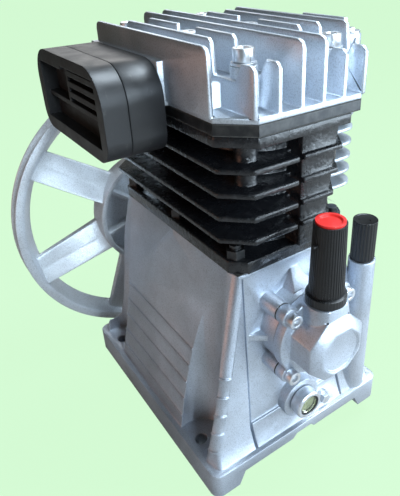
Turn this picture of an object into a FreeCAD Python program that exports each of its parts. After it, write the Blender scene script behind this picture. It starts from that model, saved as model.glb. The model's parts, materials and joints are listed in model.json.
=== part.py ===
import FreeCAD, Part
import math
import os
import re

import Sketcher
from FreeCAD import Placement, Rotation, Vector

# Twin-cylinder, belt-driven air compressor pump.
# Frame: X across the pump, +Y along the shaft towards the flywheel, +Z up.
# The origin is the middle of the four mounting holes, on the underside of the base.

# ---------------------------------------------------------------- driving sizes, millimetres
SIZES = {
    # fits
    "fit_gap": 0.02,
    "run_gap": 0.15,
    "thread_gap": 0.05,
    # base flange
    "base_width": 176.8,
    "base_length": 218.4,
    "base_shift": -3.5,
    "flange_height": 22.6,
    "base_corner": 8,
    "foot_width": 22,
    "arch_height": 12,
    "arch_slope": 6,
    "notch_width": 15,
    "notch_rise": 4,
    "hole_margin": 12,
    "hole_span_y": 149,
    "hole_radius": 5,
    "flute_radius": 20,
    # drafted crankcase
    "case_foot_x": 84,
    "case_foot_front": -102.5,
    "case_foot_rear": 94.5,
    "case_top": 178.8,
    "case_top_x": 50.4,
    "case_top_front": -95.2,
    "case_top_rear": 75.2,
    "case_corner": 7,
    "case_wall": 6.4,
    "sump_floor": 20,
    "line_count": 5,
    "line_pitch": 16,
    "line_first": 33.5,
    "line_height": 0.9,
    "line_width": 1.6,
    "line_wrap": 7,
    "panel_half": 46,
    "panel_depth": 2,
    "panel_groove": 2.4,
    "panel_groove_depth": 4,
    "skirt_rise": 17,
    "skirt_reach": 6.5,
    # shaft line and bearings
    "shaft_height": 123.9,
    "nose_face": -111.5,
    "nose_radius": 32,
    "roof_half": 16,
    "roof_ridge": 3,
    "roof_rise": 12,
    "bearing_bore": 15,
    "front_bearing_outer": 27.5,
    "front_bearing_width": 13,
    "rear_bearing_outer": 31,
    "rear_bearing_width": 16,
    "rear_bearing_face": 64,
    "ring_wall": 3.6,
    "rear_drum_radius": 37,
    "rear_drum_end": 90,
    "seal_outer": 24,
    "seal_width": 7,
    # front cap
    "gasket_thickness": 0.6,
    "cap_flange": 8.5,
    "cap_flange_radius": 34,
    "cap_depth": 33.5,
    "cap_flats": 50,
    "cap_bevel": 5.5,
    "cap_bevel_flats": 36,
    "cap_disc_radius": 16.2,
    "cap_disc_depth": 1.2,
    "cap_chamber_radius": 19,
    "cap_wall": 6,
    "cap_screw_x": 25.1,
    "cap_screw_z": 25.4,
    "cap_boss_radius": 7,
    "cap_screw_radius": 3,
    "cap_screw_head": 5.4,
    "cap_screw_length": 16,
    # breather
    "neck_radius": 15.5,
    "neck_top": 158,
    "breather_y": -127.1,
    "breather_bore": 8,
    "breather_foot": 13,
    "breather_foot_height": 7,
    "breather_low": 12.3,
    "breather_high": 10.9,
    "breather_height": 60,
    "breather_wall": 2.4,
    "breather_spigot": 11,
    "breather_hole": 1.4,
    "lid_radius": 9.9,
    "lid_height": 4,
    "lid_rise": 1.5,
    "lid_rim": 2,
    "lid_dish": 1.3,
    # oil filler
    "filler_x": 65.3,
    "filler_y": -100.8,
    "filler_boss_low": 11.4,
    "filler_boss_high": 10.6,
    "filler_top": 152.5,
    "filler_bore": 6.5,
    "filler_bore_depth": 72,
    "filler_passage": 4,
    "filler_reach": 38,
    "plug_radius": 9.4,
    "plug_height": 33,
    "plug_stem": 16,
    "dipstick_radius": 1.8,
    "dipstick_length": 46,
    "seal_thickness": 1.4,
    # sight glass and drain
    "sight_height": 47.4,
    "sight_boss_radius": 17.5,
    "sight_face": -107.5,
    "sight_ring_radius": 12.2,
    "sight_ring_depth": 10.5,
    "sight_gap": 1.2,
    "sight_gap_depth": 1.5,
    "sight_thread": 10,
    "sight_thread_depth": 8,
    "lens_radius": 7.6,
    "lens_thickness": 2,
    "lens_seal_wall": 1.5,
    "reflector_thickness": 0.8,
    "drain_x": 26,
    "drain_step": 0.5,
    "drain_height": 31,
    "drain_boss_radius": 6,
    "drain_head_radius": 4,
    "drain_head": 4,
    "drain_thread": 2.5,
    "drain_depth": 8,
    # cylinders
    "cylinder_pitch": 74.8,
    "cylinder_shift": -10,
    "cylinder_bore": 32.5,
    "barrel_radius": 39,
    "block_foot": 9.5,
    "block_x": 58.2,
    "block_half_length": 94,
    "block_corner": 17,
    "fin_nose": 22,
    "fin_nose_step": 3,
    "fin_cut": 41,
    "deck_nose": 33,
    "deck_cut": 25.5,
    "fin_thickness": 3.6,
    "fin_drop": 71,
    "fin_pitch": 16,
    "fin_count": 4,
    "deck_top": 277.3,
    "deck_thickness": 7,
    "head_half_length": 97.5,
    "head_corner": 19,
    "pad_left": -2,
    "pad_inset": 3,
    "pad_back": 8,
    "column_radius": 7.5,
    "foot_lip": 2,
    "slot_width": 4,
    "slot_depth": 14,
    "stud_depth": 14,
    "block_stud_x": 44.2,
    "block_stud_radius": 4,
    "nut_height": 6.5,
    "nut_flats": 12,
    # valve plate
    "plate_thickness": 6.1,
    "port_radius": 6,
    "port_offset": 14,
    "reed_width": 15,
    "reed_length": 38,
    "reed_thickness": 0.4,
    # head
    "head_floor": 3.9,
    "head_fin_pitch": 17.16,
    "head_fin_thickness": 3.2,
    "head_fin_height": 38.5,
    "head_fin_corner": 5,
    "vee_back": 5,
    "flank_short": 6,
    "chamber_height": 15,
    "chamber_wall": 4,
    "chamber_x": 50,
    "chamber_y": 24,
    "bolt_outer_x": 34.3,
    "bolt_middle_x": 25.74,
    "bolt_pitch": 74.8,
    "bolt_boss_radius": 8.2,
    "bolt_boss_height": 25.1,
    "bolt_radius": 4,
    "bolt_head_radius": 6.5,
    "bolt_head_height": 8,
    "bolt_socket": 3.2,
    "bolt_socket_depth": 4.5,
    "bolt_length": 64,
    "bolt_hole": 4.3,
    "washer_radius": 7.6,
    "washer_thickness": 1.6,
    "notch_height": 18,
    "tip_height": 28.5,
    "bolt_clear_front": 5.2,
    "bolt_clear_back": 16.8,
    "middle_gap": 12,
    "link_width": 12,
    # intake side
    "intake_face": 66,
    "intake_half": 52,
    "intake_shift": 13.5,
    "intake_height": 24.5,
    "intake_y": 20,
    "delivery_face": 63,
    "delivery_half": 28,
    "delivery_height": 13.5,
    "delivery_y": -30,
    "intake_port": 6,
    "port_height": 7.5,
    "rib_half": 3,
    # piston group
    "stroke": 44,
    "piston_gap": 0.05,
    "piston_length": 56,
    "piston_crown": 8,
    "piston_wall": 4,
    "crown_clearance": 0.6,
    "pin_drop": 34,
    "pin_radius": 8,
    "pin_bore": 4.5,
    "pin_half": 30,
    "pin_boss_gap": 12,
    "ring_first": 6,
    "ring_height": 2,
    "ring_pitch": 6,
    "ring_depth": 3,
    "ring_count": 3,
    "ring_side_gap": 0.03,
    # crankshaft
    "crank_pin_radius": 13,
    "web_thickness": 10,
    "web_eye": 18,
    "counterweight": 38,
    "crank_pin_half": 13,
    "journal_radius": 20,
    "shaft_nose": 6,
    "shaft_radius": 12.5,
    "shaft_step": 92,
    "shaft_end": 151,
    "stud_radius": 8,
    "stud_length": 18,
    # flywheel
    "wheel_radius": 140,
    "wheel_face": 140.5,
    "wheel_width": 16,
    "rim_near": 8,
    "rim_far": 18,
    "groove_top": 12.6,
    "groove_bottom": 8,
    "groove_depth": 6.5,
    "spoke_count": 7,
    "spoke_angle": 144.6,
    "spoke_thickness": 5,
    "blade_root_near": 13.6,
    "blade_root_front": 130,
    "blade_root_far": 16.8,
    "blade_tip_near": 16.4,
    "blade_tip_far": 12.4,
    "blade_tip_back": 153,
    "blade_bulge": 2.5,
    "rib_thickness": 4,
    "drum_radius": 60,
    "drum_wall": 5,
    "drum_face": 128,
    "drum_web": 7,
    "hub_radius": 25,
    "hub_face": 124,
    "key_width": 8,
    "key_height": 7,
    "key_length": 22,
    "key_depth": 4,
    "wheel_washer": 16,
    "wheel_washer_thickness": 3,
    "wheel_nut_flats": 24,
    "wheel_nut_height": 10,
    # delivery cooler
    "cooler_x": 83,
    "cooler_y": -19,
    "cooler_core": 12,
    "cooler_plate_x": 42,
    "cooler_plate_y": 72,
    "cooler_corner": 17,
    "cooler_inset": 6,
    "cooler_plate": 2.4,
    "cooler_pitch": 12,
    "cooler_drop": 86.3,
    "cooler_plate_count": 7,
    "cooler_fin_count": 3,
    "cooler_fin_pitch": 15,
    "cooler_fin_height": 44.7,
    "cooler_box_low": 2.7,
    "cooler_box_high": 22.7,
    "cooler_screw_height": 14.7,
    "cooler_flange": 4,
    "cooler_bore": 7,
    "outlet_rise": 10.5,
    "outlet_half": 10.5,
    "outlet_shift": 7,
    "cooler_tail": 22.5,
    "cooler_screw_half": 22,
    "side_screw_radius": 3,
    "side_screw_head": 5,
    "fitting_flats": 17,
    "fitting_height": 7,
    "fitting_thread": 6.5,
    "fitting_thread_length": 8,
    "fitting_bore": 4,
    "plug_x": 94,
    "plug_y": -44,
    "top_plug_drop": 10,
    "top_plug_radius": 8,
    "top_plug_rim": 2,
    "top_plug_flats": 7,
    "top_plug_hex": 2,
    # intake filter
    "filter_front": -45.5,
    "filter_rear": 72.5,
    "filter_low": 21.3,
    "filter_high": 36.7,
    "filter_face": 107,
    "filter_seam": 90.5,
    "filter_corner": 14,
    "filter_corner_top": 23,
    "filter_wall": 2.5,
    "filter_rim": 9,
    "filter_recess": 11,
    "window_depth": 4,
    "window_split": 68,
    "shelf_height": 27,
    "louvre_count": 4,
    "louvre_pitch": 7,
    "louvre_slot": 3.2,
    "seam_gap": 0.3,
}

# ---------------------------------------------------------------- sizes that follow from others
DERIVED = {
    "hole_span_x": "base_width - 2 * hole_margin",
    "wheel_inner_near": "wheel_radius - rim_near",
    "wheel_inner_far": "wheel_radius - rim_far",
    "deck_bottom": "deck_top - deck_thickness",
    "fin_first": "deck_top - fin_drop",
    "fin_foot": "deck_top + 2 * gasket_thickness + plate_thickness + head_floor",
    "head_fin_top": "fin_foot + head_fin_height",
    "bolt_boss_top": "fin_foot + bolt_boss_height",
    "notch_floor": "fin_foot + notch_height",
    "tip_top": "fin_foot + tip_height",
    "intake_top": "fin_foot + intake_height",
    "delivery_top": "fin_foot + delivery_height",
    "cooler_first": "deck_top - cooler_drop",
    "cooler_low": "cooler_first - cooler_tail",
    "cooler_box_bottom": "deck_top + cooler_box_low",
    "cooler_box_top": "deck_top + cooler_box_high",
    "cooler_screw_z": "deck_top + cooler_screw_height",
    "cooler_fin_top": "deck_top + cooler_fin_height",
    "top_plug_seat": "cooler_fin_top - top_plug_drop",
    "filter_bottom": "deck_top - filter_low",
    "filter_top": "deck_top + filter_high",
}

# ---------------------------------------------------------------- document and binding
DOC = FreeCAD.newDocument("CompressorPump")
SHEET = DOC.addObject("Spreadsheet::Sheet", "Sizes")
NODES = {}
AXES = {"X": Vector(1, 0, 0), "Y": Vector(0, 1, 0), "Z": Vector(0, 0, 1)}
PLANES = {"X": "YZ_Plane", "Y": "XZ_Plane", "Z": "XY_Plane"}


def fill_sheet():
    """Write every driving size, then every formula, to its own aliased cell."""
    cells = list(SIZES.items()) + [(alias, "=" + text) for alias, text in DERIVED.items()]
    for row, (alias, content) in enumerate(cells, start=1):
        SHEET.set("A%d" % row, alias)
        SHEET.set("B%d" % row, str(content))
        SHEET.setAlias("B%d" % row, alias)
    DOC.recompute()


def bound(text):
    """The expression with each size name pointed at its cell."""
    def cell(match):
        word = match.group()
        return "Sizes." + word if word in SIZES or word in DERIVED else word
    return re.sub(r"[a-z_][a-z0-9_]*", cell, str(text))


def value(text):
    """The number that an expression of sizes has now."""
    return float(SHEET.evalExpression(bound(text)))


def bind(item, **sizes):
    """Drive properties of a document object from the sheet."""
    for name, text in sizes.items():
        item.setExpression(name, bound(text))
    return item


def place(item, x="0", y="0", z="0", turn=None):
    """Put an object at sheet-driven coordinates, with a fixed turn if one is given."""
    if turn is not None:
        item.Placement = Placement(Vector(), turn)
    for axis, text in zip("xyz", (x, y, z)):
        item.setExpression("Placement.Base." + axis, bound(text))
    return item


def along(axis):
    """The turn that lays a primitive's own Z along a named axis."""
    return Rotation(Vector(0, 0, 1), AXES[axis])


# ---------------------------------------------------------------- primitives
def box(name, x, y, z):
    """A box between two coordinates on each axis, given as pairs of expressions."""
    item = DOC.addObject("Part::Box", name)
    for prop, (low, high) in zip(("Length", "Width", "Height"), (x, y, z)):
        item.setExpression(prop, bound("(%s) - (%s)" % (high, low)))
    return place(item, x[0], y[0], z[0])


def cylinder(name, radius, length, at, axis="Z"):
    """A cylinder that starts at a point and runs along an axis."""
    item = DOC.addObject("Part::Cylinder", name)
    bind(item, Radius=radius, Height=length)
    return place(item, *at, turn=along(axis))


def cone(name, start, end, length, at, axis="Z"):
    """A cone from one radius to another."""
    item = DOC.addObject("Part::Cone", name)
    bind(item, Radius1=start, Radius2=end, Height=length)
    return place(item, *at, turn=along(axis))


def hexagon(name, flats, length, at, axis="Z"):
    """A hexagonal prism across its flats."""
    item = DOC.addObject("Part::Prism", name)
    item.Polygon = 6
    bind(item, Circumradius="(%s) / 2 / cos(30 deg)" % flats, Height=length)
    return place(item, *at, turn=along(axis))


def frustum(name, low, high, bottom, top):
    """A drafted block: its bottom and top rectangles as (x0, x1, y0, y1)."""
    item = DOC.addObject("Part::Wedge", name)
    bind(item, Xmin=low[0], Xmax=low[1], Zmin="-(%s)" % low[3], Zmax="-(%s)" % low[2])
    bind(item, X2min=high[0], X2max=high[1], Z2min="-(%s)" % high[3], Z2max="-(%s)" % high[2])
    bind(item, Ymin=bottom, Ymax=top)
    item.Placement = Placement(Vector(), Rotation(Vector(1, 0, 0), 90))
    return item


def fuse(name, items):
    item = DOC.addObject("Part::MultiFuse", name)
    item.Shapes = items
    item.Refine = True
    return item


def cut(name, base, tools):
    """A base less one or several tools."""
    tool = tools[0]
    if len(tools) > 1:
        tool = DOC.addObject("Part::Compound", name + "_tools")
        tool.Links = tools
    item = DOC.addObject("Part::Cut", name)
    item.Base = base
    item.Tool = tool
    item.Refine = True
    return item


def common(name, items):
    item = DOC.addObject("Part::MultiCommon", name)
    item.Shapes = items
    return item


def compound(name, items):
    item = DOC.addObject("Part::Compound", name)
    item.Links = items
    return item


def upright(edge, axis):
    """Whether a straight edge runs along an axis."""
    if not isinstance(edge.Curve, Part.Line):
        return False
    run = edge.Vertexes[-1].Point - edge.Vertexes[0].Point
    return abs(run.normalize() * AXES[axis]) > 0.9


def rounded(name, base, radius, axis, chosen=None):
    """Fillet the straight edges of an object that run mostly along an axis."""
    DOC.recompute()
    edges = []
    for number, edge in enumerate(base.Shape.Edges, start=1):
        if upright(edge, axis) and (chosen is None or chosen(edge.CenterOfMass)):
            edges.append((number, value(radius), value(radius)))
    item = DOC.addObject("Part::Fillet", name)
    item.Base = base
    item.Edges = edges
    return item


# ---------------------------------------------------------------- sketched bodies
def origin_plane(body, role):
    return next(f for f in body.Origin.OriginFeatures if f.Role == role)


def pin(sketch, geometry, point, x, y):
    """Hold a sketch point at sheet-driven coordinates."""
    for kind, text in (("DistanceX", x), ("DistanceY", y)):
        constraint = Sketcher.Constraint(kind, -1, 1, geometry, point, value(text))
        number = sketch.addConstraint(constraint)
        sketch.setExpression("Constraints[%d]" % number, bound(text))


def add_polygon(sketch, points):
    """Draw a closed outline whose corners are pairs of expressions."""
    corners = [Vector(value(x), value(y), 0) for x, y in points]
    first = sketch.GeometryCount
    count = len(corners)
    for number in range(count):
        line = Part.LineSegment(corners[number], corners[(number + 1) % count])
        sketch.addGeometry(line, False)
    for number in range(count):
        following = first + (number + 1) % count
        sketch.addConstraint(Sketcher.Constraint("Coincident", first + number, 2, following, 1))
    for number, (x, y) in enumerate(points):
        pin(sketch, first + number, 1, x, y)


def add_circle(sketch, x, y, radius):
    """Draw a circle at a sheet-driven place."""
    circle = Part.Circle(Vector(value(x), value(y), 0), Vector(0, 0, 1), value(radius))
    number = sketch.addGeometry(circle, False)
    pin(sketch, number, 3, x, y)
    constraint = sketch.addConstraint(Sketcher.Constraint("Radius", number, value(radius)))
    sketch.setExpression("Constraints[%d]" % constraint, bound(radius))


def sketch_on(body, name, axis, offset="0"):
    """A sketch on the origin plane square to an axis, moved along that axis."""
    sketch = body.newObject("Sketcher::SketchObject", name)
    sketch.AttachmentSupport = (origin_plane(body, PLANES[axis]), [""])
    sketch.MapMode = "FlatFace"
    sign = "-" if axis == "Y" else ""
    sketch.setExpression("AttachmentOffset.Base.z", bound("%s(%s)" % (sign, offset)))
    return sketch


def draw(sketch, loops):
    """Draw loops: a circle is (x, y, radius), an outline is a list of points."""
    for loop in loops:
        if isinstance(loop, tuple):
            add_circle(sketch, *loop)
        else:
            add_polygon(sketch, loop)


def plate(name, axis, loops, start, end):
    """A flat piece with the given outline and holes between two stations on an axis."""
    body = DOC.addObject("PartDesign::Body", name)
    sketch = sketch_on(body, name + "_outline", axis, start)
    draw(sketch, loops)
    pad = body.newObject("PartDesign::Pad", name + "_pad")
    pad.Profile = sketch
    pad.Reversed = axis == "Y"
    bind(pad, Length="(%s) - (%s)" % (end, start))
    return body


def turned(name, points, x="0", y="0", z="0", axis="Y"):
    """A turned piece: its half section is (radius, station) pairs about an axis."""
    body = DOC.addObject("PartDesign::Body", name)
    sketch = sketch_on(body, name + "_section", "Y" if axis == "Z" else "Z")
    draw(sketch, [points])
    turn = body.newObject("PartDesign::Revolution", name + "_turn")
    turn.Profile = sketch
    turn.ReferenceAxis = (sketch, ["V_Axis"])
    turn.Angle = 360
    return place(body, x, y, z)


def chamfered(half_x, y0, y1, corner):
    """Corner points of a rectangle with its four corners cut off."""
    return [
        ("-(%s)" % half_x, "(%s) + (%s)" % (y0, corner)),
        ("-(%s) + (%s)" % (half_x, corner), y0),
        ("(%s) - (%s)" % (half_x, corner), y0),
        (half_x, "(%s) + (%s)" % (y0, corner)),
        (half_x, "(%s) - (%s)" % (y1, corner)),
        ("(%s) - (%s)" % (half_x, corner), y1),
        ("-(%s) + (%s)" % (half_x, corner), y1),
        ("-(%s)" % half_x, "(%s) - (%s)" % (y1, corner)),
    ]


def rectangle(x0, x1, y0, y1):
    return [(x0, y0), (x1, y0), (x1, y1), (x0, y1)]


def node(name, item):
    """Name the object that is one sub-part, and keep it for export."""
    item.Label = name
    NODES[name] = item
    return item


# ---------------------------------------------------------------- shared places
CYLINDERS = {"front": "(cylinder_shift - cylinder_pitch / 2)", "rear": "(cylinder_shift + cylinder_pitch / 2)"}
HEAD_X = "(3.5 * head_fin_pitch)"
HEAD_FRONT = "(cylinder_shift - head_half_length)"
HEAD_REAR = "(cylinder_shift + head_half_length)"
BLOCK_BASE = "(case_top + gasket_thickness)"
PLATE_BASE = "(deck_top + gasket_thickness)"
PLATE_TOP = "(deck_top + gasket_thickness + plate_thickness)"
HEAD_BASE = "(deck_top + 2 * gasket_thickness + plate_thickness)"
CAP_BACK = "(nose_face - gasket_thickness)"
CAP_SEAT = "(nose_face - gasket_thickness - cap_flange)"
CAP_FRONT = "(nose_face - gasket_thickness - cap_depth)"
BASE_FRONT = "(base_shift - base_length / 2)"
BASE_REAR = "(base_shift + base_length / 2)"
WHEEL_BACK = "(wheel_face + wheel_width)"
CAP_SCREWS = [(sx + "cap_screw_x", "shaft_height " + sz + " cap_screw_z") for sx in ("-", "") for sz in "-+"]
HEAD_BOLTS = [
    (side + "(" + ("bolt_middle_x" if row == 0 else "bolt_outer_x") + ")",
     "cylinder_shift + %d * bolt_pitch" % row)
    for row in (-1, 0, 1) for side in ("-", "")
]
SIDE_SCREWS = ["cooler_y - cooler_screw_half", "cooler_y + cooler_screw_half"]
BLOCK_STUDS = [(side + "block_stud_x", "cylinder_shift + %d * bolt_pitch" % row)
               for row in (-1, 0, 1) for side in ("-", "")]


# ---------------------------------------------------------------- crankcase
def wall_y(front, z):
    """Y of the drafted front or rear wall at a height."""
    low = "case_foot_front" if front else "case_foot_rear"
    high = "case_top_front" if front else "case_top_rear"
    share = "((%s) - flange_height) / (case_top - flange_height)" % z
    return "(%s + (%s - %s) * %s)" % (low, high, low, share)


def case_shell(name, grow="0"):
    """The drafted body of the crankcase, grown outwards by a small amount."""
    low = ("-case_foot_x - %s" % grow, "case_foot_x + %s" % grow,
           "case_foot_front - %s" % grow, "case_foot_rear + %s" % grow)
    high = ("-case_top_x - %s" % grow, "case_top_x + %s" % grow,
            "case_top_front - %s" % grow, "case_top_rear + %s" % grow)
    block = frustum(name + "_draft", low, high, "flange_height", "case_top")
    return rounded(name, block, "case_corner", "Z")


def wall_x(z):
    """Half width of the drafted case at a height."""
    return "(case_foot_x + (case_top_x - case_foot_x) * ((%s) - flange_height) / (case_top - flange_height))" % z


def cast_lines():
    """Thin raised lines along the drafted sides and just round their corners."""
    slabs = []
    for number in range(int(value("line_count"))):
        height = "(line_first + %d * line_pitch)" % number
        inner = wall_x(height) + " - line_wrap"
        for side, span in (("left", ("-base_width", "-(%s)" % inner)), ("right", (inner, "base_width"))):
            slabs.append(box("line_%s_%d" % (side, number), span, ("2 * case_foot_front", "2 * case_foot_rear"),
                             (height, height + " + line_width")))
    return common("cast_lines", [case_shell("line_shell", "line_height"), compound("line_slabs", slabs)])


def base_flange():
    """The mounting flange: two long feet joined by a raised middle."""
    slab = box("base_slab", ("-base_width / 2", "base_width / 2"), (BASE_FRONT, BASE_REAR),
               ("0", "flange_height"))
    slab = rounded("base_rounded", slab, "base_corner", "Z")
    inner = "(base_width / 2 - foot_width)"
    arch = plate("base_arch", "Y", [[
        ("-%s" % inner, "-1"),
        (inner, "-1"),
        ("%s - arch_slope" % inner, "arch_height"),
        ("notch_width / 2 + notch_rise", "arch_height"),
        ("notch_width / 2", "arch_height + notch_rise"),
        ("-notch_width / 2", "arch_height + notch_rise"),
        ("-notch_width / 2 - notch_rise", "arch_height"),
        ("-%s + arch_slope" % inner, "arch_height"),
    ]], BASE_FRONT + " - 1", BASE_REAR + " + 1")
    return cut("base_flange", slab, [arch])


def skirt():
    """The sloped ledges where the end walls meet the flange."""
    top = "flange_height + skirt_rise"
    low = ("-case_foot_x + 1", "case_foot_x - 1", "case_foot_front - skirt_reach", "case_foot_rear + skirt_reach")
    high = ("-%s + 1" % wall_x(top), "%s - 1" % wall_x(top), wall_y(True, top), wall_y(False, top))
    return rounded("skirt", frustum("skirt_draft", low, high, "flange_height - 1", top), "case_corner", "Z")


def front_panel():
    """The shallow recessed panel in the middle of the front wall."""
    low = "flange_height + skirt_rise + 3"
    high = "case_top - 3"
    return plate("panel_recess", "X", [[
        (wall_y(True, low) + " - 5", low),
        (wall_y(True, low) + " + panel_depth", low),
        (wall_y(True, high) + " + panel_depth", high),
        (wall_y(True, high) + " - 5", high),
    ]], "-panel_half", "panel_half")


def panel_grooves():
    """A narrow groove down each edge of the panel, through the ledge below it."""
    low = "flange_height"
    high = "case_top - 3"
    return [plate("panel_groove_" + tag, "X", [[
        (wall_y(True, low) + " - 2 * skirt_reach", low),
        (wall_y(True, low) + " + panel_groove_depth", low),
        (wall_y(True, high) + " + panel_groove_depth", high),
        (wall_y(True, high) + " - 2 * skirt_reach", high),
    ]], x + " - panel_groove / 2", x + " + panel_groove / 2")
        for tag, x in (("left", "-panel_half"), ("right", "panel_half"))]


def front_bosses():
    """Bearing nose, screw bosses, oil filler, sight glass and drain bosses."""
    back = "case_top_front + case_wall"
    items = [cylinder("nose", "nose_radius", "(%s) - nose_face" % back, ("0", "nose_face", "shaft_height"), "Y")]
    for number, (x, z) in enumerate(CAP_SCREWS):
        items.append(cylinder("cap_boss_%d" % number, "cap_boss_radius", "(%s) - nose_face" % back,
                              (x, "nose_face", z), "Y"))
    items.append(cone("filler_boss", "filler_boss_low", "filler_boss_high", "filler_top - flange_height + 1",
                      ("filler_x", "filler_y", "flange_height - 1")))
    items.append(cylinder("sight_boss", "sight_boss_radius", "(%s) - sight_face" % back,
                          ("0", "sight_face", "sight_height"), "Y"))
    items.append(cylinder("drain_boss", "drain_boss_radius", "(%s) - sight_face - drain_step" % back,
                          ("drain_x", "sight_face + drain_step", "drain_height"), "Y"))
    return items


def corner_places(x, y):
    """The four places at a distance either side of the origin."""
    return [(sx + x, sy + y) for sx in ("-", "") for sy in ("-", "")]


def case_gussets():
    """Webs from the bearing nose to the front wall."""
    flat = plate("nose_gusset", "Z", [[
        ("-nose_radius - 14", "case_top_front + 2"),
        ("-nose_radius + 4", "nose_face + 4"),
        ("nose_radius - 4", "nose_face + 4"),
        ("nose_radius + 14", "case_top_front + 2"),
    ]], "shaft_height - 2.5", "shaft_height + 2.5")
    ridge = "shaft_height + nose_radius"
    slope = plate("roof_slope", "X", [[
        ("case_top_front + 2", "shaft_height"),
        ("nose_face + 5", "shaft_height"),
        ("nose_face + 5", ridge),
        ("case_top_front + 2", ridge + " + roof_rise"),
    ]], "-roof_half - 1", "roof_half + 1")
    tent = plate("roof_tent", "Y", [[
        ("-roof_half", "shaft_height + 1"),
        ("roof_half", "shaft_height + 1"),
        ("roof_half", ridge + " - roof_rise"),
        ("roof_ridge", ridge + " + roof_rise"),
        ("-roof_ridge", ridge + " + roof_rise"),
        ("-roof_half", ridge + " - roof_rise"),
    ]], "nose_face", "case_top_front + 3")
    return [flat, common("nose_roof", [slope, tent])]


def case_tools():
    """Every machined hole of the crankcase."""
    face = ("0", "nose_face", "shaft_height")
    seat = "rear_bearing_face"
    passage = cylinder("filler_passage", "filler_passage", "filler_reach",
                       ("filler_x", "filler_y", "filler_top - filler_bore_depth + 2 * filler_passage"))
    passage.Placement.Rotation = Rotation(Vector(0, 0, 1), Vector(-1, 1, 0))
    tools = [
        passage,
        cylinder("front_bore", "front_bearing_outer + fit_gap", "front_bearing_width", face, "Y"),
        cylinder("front_throat", "front_bearing_outer - 4", "30", face, "Y"),
        cylinder("rear_bore", "rear_bearing_outer + fit_gap", "rear_bearing_width + 4",
                 ("0", seat + " - 4", "shaft_height"), "Y"),
        cylinder("seal_bore", "seal_outer + fit_gap", "40", ("0", seat, "shaft_height"), "Y"),
        cylinder("filler_hole", "filler_bore", "filler_bore_depth + 1",
                 ("filler_x", "filler_y", "filler_top - filler_bore_depth")),
        cylinder("sight_hole", "sight_thread", "sight_thread_depth", ("0", "sight_face", "sight_height"), "Y"),
        cylinder("drain_hole", "drain_thread + thread_gap", "drain_depth",
                 ("drain_x", "sight_face + drain_step", "drain_height"), "Y"),
    ]
    for number, (x, z) in enumerate(CAP_SCREWS):
        tools.append(cylinder("cap_thread_%d" % number, "cap_screw_radius + thread_gap", "cap_screw_length",
                              (x, "nose_face", z), "Y"))
    for number, (x, y) in enumerate(corner_places("hole_span_x / 2", "hole_span_y / 2")):
        tools.append(cylinder("base_hole_%d" % number, "hole_radius", "flange_height + 2", (x, y, "-1")))
    for number, (x, y) in enumerate(BLOCK_STUDS):
        tools.append(cylinder("stud_hole_%d" % number, "block_stud_radius + thread_gap", "stud_depth + 1",
                              (x, y, "case_top - stud_depth")))
    return tools


def crankcase():
    walls = cut("case_panelled", case_shell("case_shell"), [front_panel()])
    flutes = [cylinder("flute_%d" % number, "flute_radius", "case_top", (x, y, "flange_height"))
              for number, (x, y) in enumerate(corner_places("hole_span_x / 2", "hole_span_y / 2"))]
    lined = fuse("case_lined", [walls, cast_lines(), skirt()])
    fluted = cut("case_fluted", lined, flutes + panel_grooves())
    outside = fuse("case_outside", [fluted, base_flange()] + case_gussets() + front_bosses())
    cavity = box("case_cavity", ("-case_top_x + case_wall", "case_top_x - case_wall"),
                 ("case_top_front + case_wall + 1.5", "case_top_rear - case_wall - 1.5"),
                 ("sump_floor", "case_top + 1"))
    hollow = cut("case_hollow", outside, [cavity])
    drum = cylinder("rear_drum", "rear_drum_radius", "rear_drum_end - rear_bearing_face + 3",
                    ("0", "rear_bearing_face - 3", "shaft_height"), "Y")
    bosses = [cylinder("stud_boss_%d" % number, "block_stud_radius + 3.5", "stud_depth + 3",
                       (x, y, "case_top - stud_depth - 3")) for number, (x, y) in enumerate(BLOCK_STUDS)]
    return node("crankcase", cut("crankcase_cast", fuse("case_bossed", [hollow, drum] + bosses), case_tools()))


def crankcase_gasket():
    loops = [rectangle("-case_top_x + 1", "case_top_x - 1", "case_top_front + 1", "case_top_rear - 1"),
             rectangle("-case_top_x + case_wall", "case_top_x - case_wall",
                       "case_top_front + case_wall + 1.5", "case_top_rear - case_wall - 1.5")]
    sheet = plate("case_gasket_sheet", "Z", loops, "case_top", BLOCK_BASE)
    lobes = [cylinder("case_gasket_lobe_%d" % n, "block_stud_radius + 2.5", "gasket_thickness",
                      (x, y, "case_top")) for n, (x, y) in enumerate(BLOCK_STUDS)]
    holes = [cylinder("case_gasket_hole_%d" % n, "block_stud_radius + thread_gap", "3", (x, y, "case_top - 1"))
             for n, (x, y) in enumerate(BLOCK_STUDS)]
    return node("crankcase_gasket", cut("case_gasket_cut", fuse("case_gasket_whole", [sheet] + lobes), holes))


# ---------------------------------------------------------------- shaft line
def ring(name, inner, outer, start, end):
    """A plain ring about the shaft line."""
    return turned(name, rectangle(inner, outer, start, end), z="shaft_height")


def bearings():
    """Sealed ball bearings, each an inner and an outer ring with its shield."""
    front = "nose_face"
    front_end = "nose_face + front_bearing_width"
    rear = "rear_bearing_face"
    rear_end = "rear_bearing_face + rear_bearing_width"
    step = "bearing_bore + ring_wall"
    for tag, start, end, outer in (("front", front, front_end, "front_bearing_outer"),
                                   ("rear", rear, rear_end, "rear_bearing_outer")):
        inner_ring = ring(tag + "_inner", "bearing_bore + fit_gap", step, start, end)
        node(tag + "_bearing_inner_ring", inner_ring)
        outer_ring = turned(tag + "_outer", [
            (step + " + run_gap", start + " + 1"),
            (outer, start),
            (outer, end),
            (step + " + run_gap", end + " - 1"),
        ], z="shaft_height")
        node(tag + "_bearing_outer_ring", outer_ring)
    start = "rear_drum_end - seal_width"
    seal = ring("oil_seal", "bearing_bore + run_gap", "seal_outer", start, "rear_drum_end")
    node("rear_oil_seal", seal)


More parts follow.
